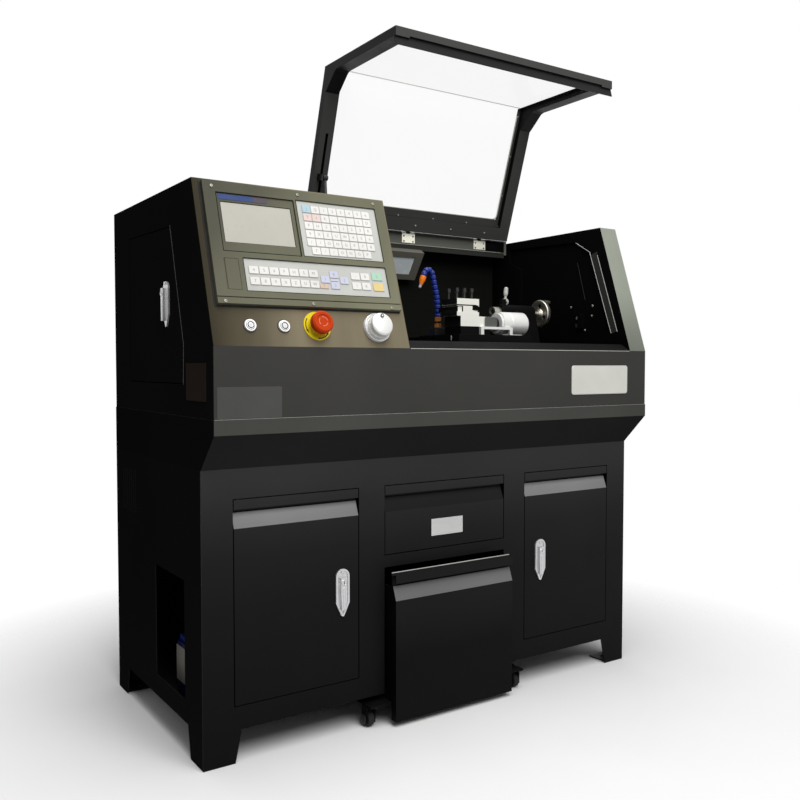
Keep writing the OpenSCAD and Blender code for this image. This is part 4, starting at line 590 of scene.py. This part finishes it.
# %% Marks on the keys
def marks(name, plane, words, size, finish, out):
    """Flat letters on a face: each word's outline is filled, centred at (along, up), scaled to size, laid at out."""
    parts = []
    for word, x, s in words:
        curve = bpy.data.curves.new("word", "FONT")
        curve.body, curve.size, curve.align_x, curve.align_y = word, size, "CENTER", "CENTER"
        curve.resolution_u = 2
        holder = bpy.data.objects.new("word", curve)
        flat = bpy.data.meshes.new_from_object(holder)
        local = np.empty(len(flat.vertices) * 3)
        flat.vertices.foreach_get("co", local)
        local = local.reshape(-1, 3)
        local[:, 2] = out
        parts.append((on(plane, local + np.array([x, s, 0])), [list(p.vertices) for p in flat.polygons], 0))
        bpy.data.objects.remove(holder)
        bpy.data.curves.remove(curve)
        bpy.data.meshes.remove(flat)
    return build(name, parts, [finish], "cabinet")


legend = "//ONGP789XZUW456FHSM123RTIK-0.LDJQ1234567"
letters = [(legend[k % len(legend)], x + w / 2, s + h / 2) for k, (x, s, w, h) in enumerate(keys)]
marks("key_marks", SLANT, letters, 9.0, key_ink, foil_top + 0.6)

# %% [markdown]
# Around the keys: a plain strip where a maker would put a name, round steel buttons with a lit ring, the
# emergency stop on its yellow disc with turning arrows, and the hand wheel that moves an axis click by click. All
# are turned parts: a profile of radius and height, taken round the face's normal.

# %% Buttons, stop and hand wheel
button_x, button_s = {"start_button": 78, "stop_button": 148}, 41
build("name_strip", [slab(SLANT, 46, 293.6, 119, 305, 7.9, 8.5, 0.6, 0.2, 0),
                     slab(SLANT, 119, 293.6, 149, 305, 7.9, 8.5, 0.6, 0.2, 1)],
      [strip_blue, strip_grey], "cabinet")

for body, x in button_x.items():
    build(body + "_ring", [turned(SLANT, (x, button_s), [(5.1, 5.4), (5.1, 5.75), (6.9, 5.75), (6.9, 5.4)]),
                           turned(SLANT, (x, button_s), [(4.0, 5.4), (4.0, 5.7), (0.0, 5.7)], 1)],
          [plastic_black, key_white], body)
build("button_gaskets", [turned(SLANT, (x, button_s), [(13.6, 0.0), (13.6, 0.8), (12.2, 0.8), (12.2, 0.0)])
                         for x in button_x.values()], [rubber], "cabinet")


def arrow_arc(plane, at, r, wide, start, stop, z0, z1, head=0.35, steps=14):
    """A curved arrow: a band between r - w and r + w over the angles start..stop, whose w opens into a head."""
    t = np.linspace(start, stop, steps)
    w = np.full(steps, wide)
    t = np.append(t, [stop, stop + head])
    w = np.append(w, [wide * 2.4, 0.02])
    ring = np.stack([np.concatenate([(r - w) * np.cos(t), ((r + w) * np.cos(t))[::-1]]),
                     np.concatenate([(r - w) * np.sin(t), ((r + w) * np.sin(t))[::-1]])], -1) + at
    n = len(ring)
    local = np.concatenate([np.column_stack([ring, np.full(n, z)]) for z in (z0, z1)])
    half = n // 2
    band = [[k, k + 1, n - 2 - k, n - 1 - k] for k in range(half - 1)]
    faces = band + [[i + n for i in quad] for quad in band]
    faces += [[k, (k + 1) % n, (k + 1) % n + n, k + n] for k in range(n)]
    return on(plane, local), faces, 1


stop_at = (220, 43)
stop_rim = [(29.6, -0.2), (29.6, 2.2), (29.2, 2.6), (14.3, 2.6), (14.3, -0.3)]
build("stop_disc", [turned(SLANT, stop_at, stop_rim, 0, 64)]
      + [arrow_arc(SLANT, stop_at, 25.6, 1.0, a, a + 0.95, 2.6, 2.75) for a in (0.4, 2.5, 4.6)],
      [stop_yellow, ink_black], "cabinet")
build("stop_cap_arrows", [arrow_arc(SLANT, stop_at, 9.2, 0.8, a, a + 1.3, 28.4, 28.75) for a in (0.2, 2.3, 4.4)],
      [stop_red, stop_mark], "estop")

dial_at = (357, 42)
groove_steps = ((0.0, 30.15), (0.3, 29.6), (0.7, 29.6), (1.0, 30.15))
grooves = [(r, 0.8 + 1.7 * k + d) for k in range(4) for d, r in groove_steps]
build("dial_skirt", [turned(SLANT, dial_at, [(30.05, 0.1), *grooves, (30.15, 7.8), (29.3, 8.4), (26.2, 8.4),
                                             (26.2, 7.6)], 0, 72)], [chrome], "cabinet")
ticks = [(a, 2.08 if k % 5 else 2.72) for k, a in enumerate(np.linspace(0, 2 * math.pi, 50, endpoint=False))]


def tick(plane, at, r, length, angle, z, wide=0.28):
    """A printed tick: a thin quad from radius r outwards, as wide as two small steps along its circle."""
    way, side = np.array([math.cos(angle), math.sin(angle)]), np.array([-math.sin(angle), math.cos(angle)])
    ring = np.array([at + way * r - side * wide, at + way * (r + length) - side * wide,
                     at + way * (r + length) + side * wide, at + way * r + side * wide])
    return on(plane, np.column_stack([ring, np.full(4, z)])), [[0, 1, 2, 3]], 0


build("dial_ticks", [tick(SLANT, np.array(dial_at), 26.4, length, a, 8.46) for a, length in ticks], [ink_black],
      "cabinet")
build("dial_face", [turned(SLANT, dial_at, [(21.5, 28.0), (21.5, 28.5), (20.8, 28.9), (0, 28.9)], 0, 64),
                    turned(SLANT, (dial_at[0], dial_at[1] + 17), [(4.1, 28.4), (4.1, 30.9), (3.3, 31.4), (1.6, 30.9),
                                                                  (0, 30.7)], 1, 32)],
      [aluminium, steel_dark], "dial")

# %% [markdown]
# A dark sheet under the control's bezel shows round its edge as painted shadow, and each window of its frame has a
# dark line round it, painted shadow. The travel keys stand in a cross round a short bar, as they do on any control.
# Below the slope, pale strips along the tray's rim and the front panel's top edge are painted highlights.

# %% Painted shadow round the bezel and its windows, painted highlights on seams
def shade_frame(x0, s0, x1, s1, wide, height):
    """A thin frame round a rectangle: its corner points joined in a loop by a strip."""
    loop = [(x0, s0), (x1, s0), (x1, s1), (x0, s1), (x0, s0)]
    return [strip(SLANT, [a, b], wide, height, height + 0.15) for a, b in zip(loop, loop[1:])]


shade_line_top, display_top = bezel_top - 0.05, 6.95
# A dark sheet under the bezel, showing round its edge as painted shadow
build("bezel_shadow", [slab(SLANT, 12.6, 76.4, 423.2, 333, 0.0, 1.0, 3.0)], [rubber], "cabinet")
# Dark lines round the bezel's windows: painted shadow
build("bezel_shade_lines", shade_frame(42, 186, 206, 307, 1.3, shade_line_top) + shade_frame(212, 187, 399, 309, 1.2, shade_line_top)
      + shade_frame(79, 107, 399, 174, 1.2, shade_line_top) + shade_frame(49.4, 205.4, 197.6, 288.6, 1.1, display_top),
      [shade_black], "cabinet")
build("cross_bar", [slab(SLANT, 264, 137, 281, 142, foil_top - 0.85, foil_top + 0.3, 1, 0.15)], [key_pale_blue],
      "cabinet")
# Pale strips along the top of the tray's rim and the front panel's top edge: painted highlights
build("tray_seam_highlights", [slab(FRONT, 1.5, 674.6, 1158.5, 676.3, -0.3, 0.9, 0.6, 0.5),
                    slab(FRONT, 434, 809.7, 1101, 811.2, -0.5, 0.5, 0.6, 0.4)], [highlight_grey], "cabinet")

# %% [markdown]
# Door latches are cast zinc with a bright chromed skin. The solids hold the plate and the lever; the eye looks for
# the lock barrel with its key slot and the rib down the lever. Plates that would carry a name or a warning are
# there as bare metal and bare film, because the machine is nobody's in particular.

# %% Latches and plates
def latch_fittings(plane, x, z, out, body):
    """A lock barrel with a key slot on the lever's head, and a rounded rib along the lever."""
    return build(body + "_lock", [
        turned(plane, (x, z + 24), [(6.6, out - 0.6), (6.6, out + 0.7), (6.0, out + 1.2), (5.3, out + 1.2),
                                    (5.3, out + 0.8), (0, out + 0.8)], 0, 36),
        slab(plane, x - 0.8, z + 20.6, x + 0.8, z + 27.4, out + 0.7, out + 0.95, 0.7, 0.05, 1),
        slab(plane, x - 2.6, z - 31, x + 2.6, z + 14, out - 0.4, out + 1.2, 2.5, 1.1, 0),
        turned(plane, (x, z + 44), [(3.2, out - 6.8), (3.2, out - 5.6), (2.2, out - 5.0), (0, out - 4.9)], 0, 20)],
        [chrome, plastic_black], body)


latch_z, latch_out = 300, 9.3
latch_fittings(BASE, 306, latch_z, latch_out, "left_latch")
latch_fittings(BASE, 862, latch_z, latch_out, "right_latch")
latch_fittings(LEFT, -177, 898, 11.0, "side_latch")

build("drawer_plate", [slab(BASE, 536, 395, 624, 433, -0.2, 1.2, 1.2, 0.6, 0, 3),
                       slab(BASE, 539, 398, 621, 430, 1.1, 1.35, 0.8, 0.2, 1, 3)]
      + [turned(BASE, (x, 414), [(1.5, 1.3), (1.5, 1.6), (1.0, 2.0), (0, 2.1)], 0, 16) for x in (542.5, 617.5)],
      [chrome, plate_silver], "drawer")
build("front_name_plate", [slab(FRONT, 899, 705, 1092, 775, -0.2, 1.6, 7, 0.8, 0, 6),
                           slab(FRONT, 901, 707, 1090, 773, 1.5, 1.8, 6, 0.2, 1, 6)],
      [plate_silver, plate_white], "cabinet")
build("front_sticker", [slab(FRONT, 7, 677, 137, 736, -0.1, 0.35, 2, 0.2, 0, 4)], [sticker_and_highlight_grey], "cabinet")
build("side_sticker", [slab(LEFT, -72, 708, 30, 780, -1.1, 0.35, 2, 0.2, 0, 4)], [sticker_brown], "cabinet")
# A lighter strip along the side door's edge: a painted highlight
build("side_door_edge_highlight", [strip(LEFT, [(-157.6, 1056.5), (-86.2, 817), (-89.2, 738)], 1.4, -1.2, -0.5)],
      [sticker_and_highlight_grey], "cabinet")

# %% [markdown]
# Inside the work space the coolant hose is a chain of plastic balls. Its cups are blue, and the solid has them; the
# amber valve at its foot and the orange nozzle at its end are turned here, the nozzle along its own line.

# %% Hose ends
def along_line(a, b):
    """A face at point a whose outward direction runs from a to b."""
    a, across = np.array(a, float), np.array([0.0, 1.0, 0.0])
    way = (b - a) / np.linalg.norm(b - a)
    return a, across, np.cross(way, across), way


hose_y = 172
valve = face((680, hose_y, 848.6), (1, 0, 0), (0, 1, 0))
nozzle = along_line((636, hose_y, 990.6), (628, hose_y, 970.6))
build("hose_valve", [turned(valve, (0, 0), [(8.9, 19.1), (8.9, 28.6), (8.1, 30.6), (8.1, 44.6), (7.3, 45.2)], 3, 28),
                     turned(valve, (0, 0), [(9.6, 30.6), (9.9, 31.2), (9.9, 34.4), (9.6, 35), (8.0, 35)], 2, 28),
                     slab(valve, -15.2, -10.2, 15.2, 10.2, 0.0, 19.2, 1.5, 0.8, 2),
                     turned(nozzle, (0, 0), [(7.6, -1), (7.6, 9.8), (6.9, 11.4), (3.9, 21.8)], 0, 28),
                     turned(nozzle, (0, 0), [(3.6, 20), (3.4, 29.4), (2.3, 29.4), (2.3, 23)], 1, 24)],
      [hose_orange, nozzle_grey, plastic_black, amber_brown], "cross_slide")

# %% [markdown]
# The housing's front beam is folded twice: pale strips along its upper and lower edges are painted highlights, with
# painted shade below the lower one as far as the guard's corner, and painted shade over it to the right of the right
# hinge. The upper highlight stops at both hinges, so that their knuckles turn free. The block beside the tool holder
# is phosphated grey, and the saddle's front shows its stops and oil lines.

# %% Beam, block and saddle
hinge_x, leaf = (753, 1001), 22
ends = [467, *(x + d for x in hinge_x for d in (-leaf, leaf)), 1082]
# Pale strips along the beam's edges are painted highlights; the dark strips below it and right of the right hinge are
# painted shade
build("beam_highlights_and_shade", [slab(BEAM, ends[0], 1103.4, ends[-1], 1104.8, -1.7, -0.4, 0.6, 0.4),
                     *[slab(BEAM, x0, 1135.4, x1, 1136.8, -1.7, -0.4, 0.6, 0.4)
                       for x0, x1 in zip(ends[::2], ends[1::2])],
                     slab(BEAM, 466, 1089.0, 1094, 1103.3, -1.7, -1.3, 0.5, 0.2, 2),
                     slab(BEAM, 1024, 1104.9, 1094, 1135.2, -1.7, -1.3, 0.5, 0.2, 1)],
      [fold_highlight_grey, shade_black, band_and_shade_grey], "cabinet")
build("block_faces", [slab(BLOCK, 738, 868.4, 774.6, 891.2, -0.3, 0.5, 0.6, 0.3),
                      slab(BLOCK, 699, 906.0, 717, 917.5, -0.3, 0.5, 0.6, 0.3, 1)],
      [grey_block, shade_black], "cross_slide")
build("saddle_stops", [slab(SADDLE, 645.4, 833.4, 648, 845, -0.3, 1.4, 1, 0.6),
                       slab(SADDLE, 663, 833, 674.5, 837.5, -0.3, 1.9, 1.5, 0.6),
                       slab(SADDLE, 701, 833, 731, 845.8, -0.3, 0.9, 1, 0.4, 1),
                       slab(SADDLE, 777, 845.9, 878, 847.2, -0.3, 0.6, 0.5, 0.3, 1),
                       turned(SADDLE, (772, 843.5), [(2.6, -0.3), (2.6, 1.6), (2.0, 2.2), (0, 2.3)], 0, 20)]
      + [slab(SADDLE, x, 833.4, x + 3.2, 839.2, -0.3, 0.9, 0.6, 0.4, 1) for x in (737, 742, 747, 752, 757)],
      [steel, grey_block], "carriage")
screws("hinge_screws", BEAM, [(x + dx, z, -0.7) for x in hinge_x for dx in (-15, 15) for z in (1112, 1126)],
       2.6, steel_dark, "cabinet")

# %% [markdown]
# The guard swings about a line behind its rear bar, so its pieces are worked out with the guard closed, where every
# bar is level or at the panel's slope, and are then turned by the opening angle at which it stands.

# %% Guard screws, painted fold highlight and ledge
guard_open = math.radians(-72)
hinge = np.array([0.0, 412.0, 1136.0])
roof_z = 1134


def swung(plane):
    """A face of the closed guard turned about the hinge line: y and z rotate by the opening angle."""
    c, s = math.cos(guard_open), math.sin(guard_open)
    turn = np.array([[1, 0, 0], [0, c, -s], [0, s, c]])
    point, along, up, out = plane
    return turn @ (point - hinge) + hinge, turn @ along, turn @ up, turn @ out


def below(depth):
    """The underside of the closed guard's roof at a depth below its top, facing down."""
    return swung(face((0, 0, roof_z - depth), (1, 0, 0), (0, -1, 0)))


ledge, bar = below(6.0), below(20.0)
rail_screws = [(x, -y, 0) for x in (475, 1048) for y in (385, 280, 170, 62)]
screws("guard_window_screws", ledge, rail_screws, 2.4, steel, "guard")
# The window is a bent sheet: a pale strip along its fold is a painted highlight, and it rests on a ledge with a
# rolled lip, whose pale strip is a painted highlight too
build("window_fold_highlight", [slab(ledge, 472, -39.2, 1051, -37.4, -0.2, 0.5, 0.5, 0.3)], [fold_highlight_grey], "guard")
lip = [(484, -347.6), (1030, -347.6), (1037, -345.5), (1041, -341), (1042.6, -334), (1042.6, -60)]
build("guard_ledge", [slab(ledge, 480.5, -371.5, 1042.5, -348, -0.2, 2.0, 3, 0.6),
                      strip(ledge, lip, 2.0, -0.2, 2.6, 1)], [coat_guard, fold_highlight_grey], "guard")
screws("guard_ledge_screws", ledge, [(x, -366, 2) for x in (590, 707, 822, 938, 1054)], 2.2, steel, "guard")
screws("guard_bar_screws", bar, [(x, -388, 0) for x in (520, 640, 760, 880, 1000)], 2.6, steel, "guard")

# %% [markdown]
# The parts nobody looks at first still make the machine: the switch block on the right wall, with pale strips along
# the edges of its recess as painted highlights and a dark grey band between them, the rolled lip of the chip cart
# with a painted highlight on its top edge, castor hubs, the label field of the oil pump, and the screws, cable
# glands and mains inlet of the side and the back. Each is a few plates and turned parts on its own face.

# %% Small fittings on the walls, the cart and the back
# Pale strips along the edges of the wall's recess: painted highlights, with a dark grey band between them
build("wall_recess_edge_highlights", [strip(WALL, [(-60, 1067), (13.9, 859)], 25, -0.2, 0.5, 1),
                     strip(WALL, [(-123.9, 1102), (-73.6, 1072.5), (3.6, 857.5)], 1.2, -0.2, 1.4),
                     strip(WALL, [(-46.4, 1061.7), (24.1, 860.6)], 1.2, -0.2, 1.4),
                     strip(WALL, [(-117.6, 1048.7), (-88.6, 949)], 0.9, -0.2, 0.9, 1)],
      [highlight_grey, band_and_shade_grey], "cabinet")
knobs = ((139, 931, 3.4), (61, 931, 3.4), (116, 901, 4.2), (88, 868, 3.0), (63, 905, 2.6))
build("wall_switch", [turned(WALL, (-y, z), [(r, -0.2), (r, 2.4), (r - 0.8, 3.0), (0, 3.1)], 0, 24)
                      for y, z, r in knobs]
      + [slab(WALL, -121, 876, -100, 886, -0.2, 3.4, 1.5, 0.8, 1)], [steel, band_and_shade_grey], "cabinet")
# The cart's lip; the pale strip on its top edge is a painted highlight
build("cart_lip", [slab(BASE, 407, 329.5, 733, 336.4, 35.2, 36.8, 0.8, 0.4),
                   slab(BASE, 407, 335.4, 733, 337.0, 35.2, 37.3, 0.6, 0.5, 1)], [coat_cart, highlight_grey], "cart")
axle_y, axle_z = 9, 17
hub = [(11, -0.3), (11, 0.7), (10, 1.0), (6, 1.0), (5.5, 0.4), (4, 0.4), (4, 1.4), (0, 1.5)]
for side, x in (("left", 363), ("right", 773)):
    axle = face((x, axle_y, axle_z), (0, -1, 0), (0, 0, 1))
    build(f"castor_hub_{side}", [turned(axle, (0, 0), hub, 0, 32)], [steel_dark], f"wheel_{side}")
build("pump_marks", [slab(LEFT, -248, 100, -194, 176, -38.3, -37.4, 1.5, 0.4),
                     slab(LEFT, -198, 226, -180, 244, -54.3, -53.4, 1, 0.4, 1)], [pump_label, stop_yellow], "cabinet")
cover_screw, base_rows = 4.4, (120, 560)
screws("back_screws", BACK, [(-x, z, -1) for x in (26, 300, 580, 860, 1134) for z in (694, 1120)]
       + [(-x, z, 0) for x in (26, 390, 770, 1134) for z in base_rows], cover_screw, steel_dark, "cabinet")
screws("right_screws", RIGHT, [(y, z, -0.5) for y in (20, 270, 520) for z in base_rows]
       + [(y, z, -1) for y in (90, 300, 510) for z in (700, 1060)], cover_screw, steel_dark, "cabinet")
gland = [(13, -0.5), (13, 1.2), (11.5, 1.6), (11.5, 2.2), (9.5, 2.6), (5, 2.6), (4.4, 1)]
socket = [(12, 1.8), (12, 2.4), (10.6, 2.8), (9.6, 2.8), (9.6, 2.2), (0, 2.2)]
build("mains_inlet", [slab(BACK, -1096, 440, -1012, 500, -0.5, 2.0, 4, 0.8, 0, 5),
                      slab(BACK, -1086, 452, -1056, 488, 1.8, 2.8, 3, 0.6, 1),
                      *[turned(BACK, (-x, 395), gland, 0, 6) for x in (930, 970)],
                      turned(BACK, (-1032, 470), socket, 1, 32)],
      [plastic_black, coat_front], "cabinet")

# %% [markdown]
# The camera stands at the front left, a little above the tray, and looks slightly down. Its place and lens are
# numbers, because the whole lesson depends on seeing the machine from that one side; the other sides are looked at
# by turning the view, not by moving pieces.

# %% Camera
camera_at, looks_down, turned_right = (-600.9, -1566.5, 778.0), 2.349, 33.906
camera = bpy.data.objects.new("camera", bpy.data.cameras.new("camera"))
bpy.context.scene.collection.objects.link(camera)
camera.location = metres(camera_at)[0]
camera.rotation_euler = (math.radians(90 - looks_down), 0, math.radians(-turned_right))
camera.data.lens, camera.data.sensor_width = 39.3, 36
camera.data.clip_start, camera.data.clip_end = 0.05, 60
bpy.context.scene.camera = camera
bpy.context.scene.view_settings.view_transform = "Standard"
print("camera at", tuple(round(c, 3) for c in camera.location))

# %% [markdown]
# A studio for a black machine is mostly big soft lamps: black paint shows only what it mirrors. One large lamp hangs
# in front and above, and lights every face that leans back: the control panel, the pulls of the doors; the paler
# tone of these faces is also painted into their coats, as painted light. A second one hangs straight over the
# machine and fills the work space. Their powers are turned down until the pale keys stop clipping. The floor is a
# pale disc that fades out towards its rim, so that no edge shows.

# %% Lamps, world and floor
def lamp(name, place, target, size, power):
    """A square area lamp at a place, turned to its target: its -Z axis lies along target - place."""
    made = bpy.data.objects.new(name, bpy.data.lights.new(name, "AREA"))
    made.data.shape, made.data.size, made.data.energy = "SQUARE", size, power
    bpy.context.scene.collection.objects.link(made)
    made.location = metres([place])[0]
    aim = metres([target])[0] - metres([place])[0]
    made.rotation_euler = mathutils.Vector(aim).to_track_quat("-Z", "Y").to_euler()
    return made


lamp("lamp above front", (200, -1900, 2500), (550, 100, 700), size=1.8, power=53)
lamp("lamp over", (350, -300, 2900), (500, 100, 800), size=1.8, power=36)

# The white room is seen, mirrored and shone through at full strength, but lights the machine only faintly
lights, shows = 0.25, 1.0
world = bpy.data.worlds.new("studio")
bpy.context.scene.world = world
world.use_nodes = True
tree = world.node_tree
ray, mix = tree.nodes.new("ShaderNodeLightPath"), tree.nodes.new("ShaderNodeMix")
seen, both = tree.nodes.new("ShaderNodeMath"), tree.nodes.new("ShaderNodeMath")
for node, (a, b) in ((seen, ("Is Camera Ray", "Is Glossy Ray")), (both, (None, "Is Transmission Ray"))):
    node.operation = "MAXIMUM"
    tree.links.new(ray.outputs[a] if a else seen.outputs[0], node.inputs[0])
    tree.links.new(ray.outputs[b], node.inputs[1])
mix.data_type = "FLOAT"
mix.inputs[2].default_value, mix.inputs[3].default_value = lights, shows
tree.links.new(both.outputs[0], mix.inputs[0])
tree.links.new(mix.outputs[0], tree.nodes["Background"].inputs["Strength"])
tree.nodes["Background"].inputs["Color"].default_value = (1, 1, 1, 1)

floor_r, floor_drop, floor_corners = 6.0, 0.0005, 96
solid_to, gone_at = 0.62, 1.3
floor_mesh = bpy.data.meshes.new("floor")
ring = np.column_stack([circle(floor_r, floor_corners), np.full(floor_corners, -floor_drop)])
floor_mesh.from_pydata(ring.tolist(), [], [list(range(floor_corners))])
floor = bpy.data.objects.new("floor", floor_mesh)
bpy.context.scene.collection.objects.link(floor)
pale, tree, bsdf = shader("pale floor")
bsdf.inputs["Roughness"].default_value = 0.9
bsdf.inputs["Specular IOR Level"].default_value = 0.1
tree.links.new(tones(tree, noise(tree, 3, 3).outputs["Fac"], [(0.3, (0.91,) * 3), (0.7, (0.94,) * 3)]),
               bsdf.inputs["Base Color"])
where, far = tree.nodes.new("ShaderNodeTexCoord"), tree.nodes.new("ShaderNodeVectorMath")
far.operation = "LENGTH"
tree.links.new(where.outputs["Object"], far.inputs[0])
tree.links.new(spread(tree, far.outputs["Value"], 1.0, 0.0, solid_to, gone_at), bsdf.inputs["Alpha"])
floor_mesh.materials.append(pale)
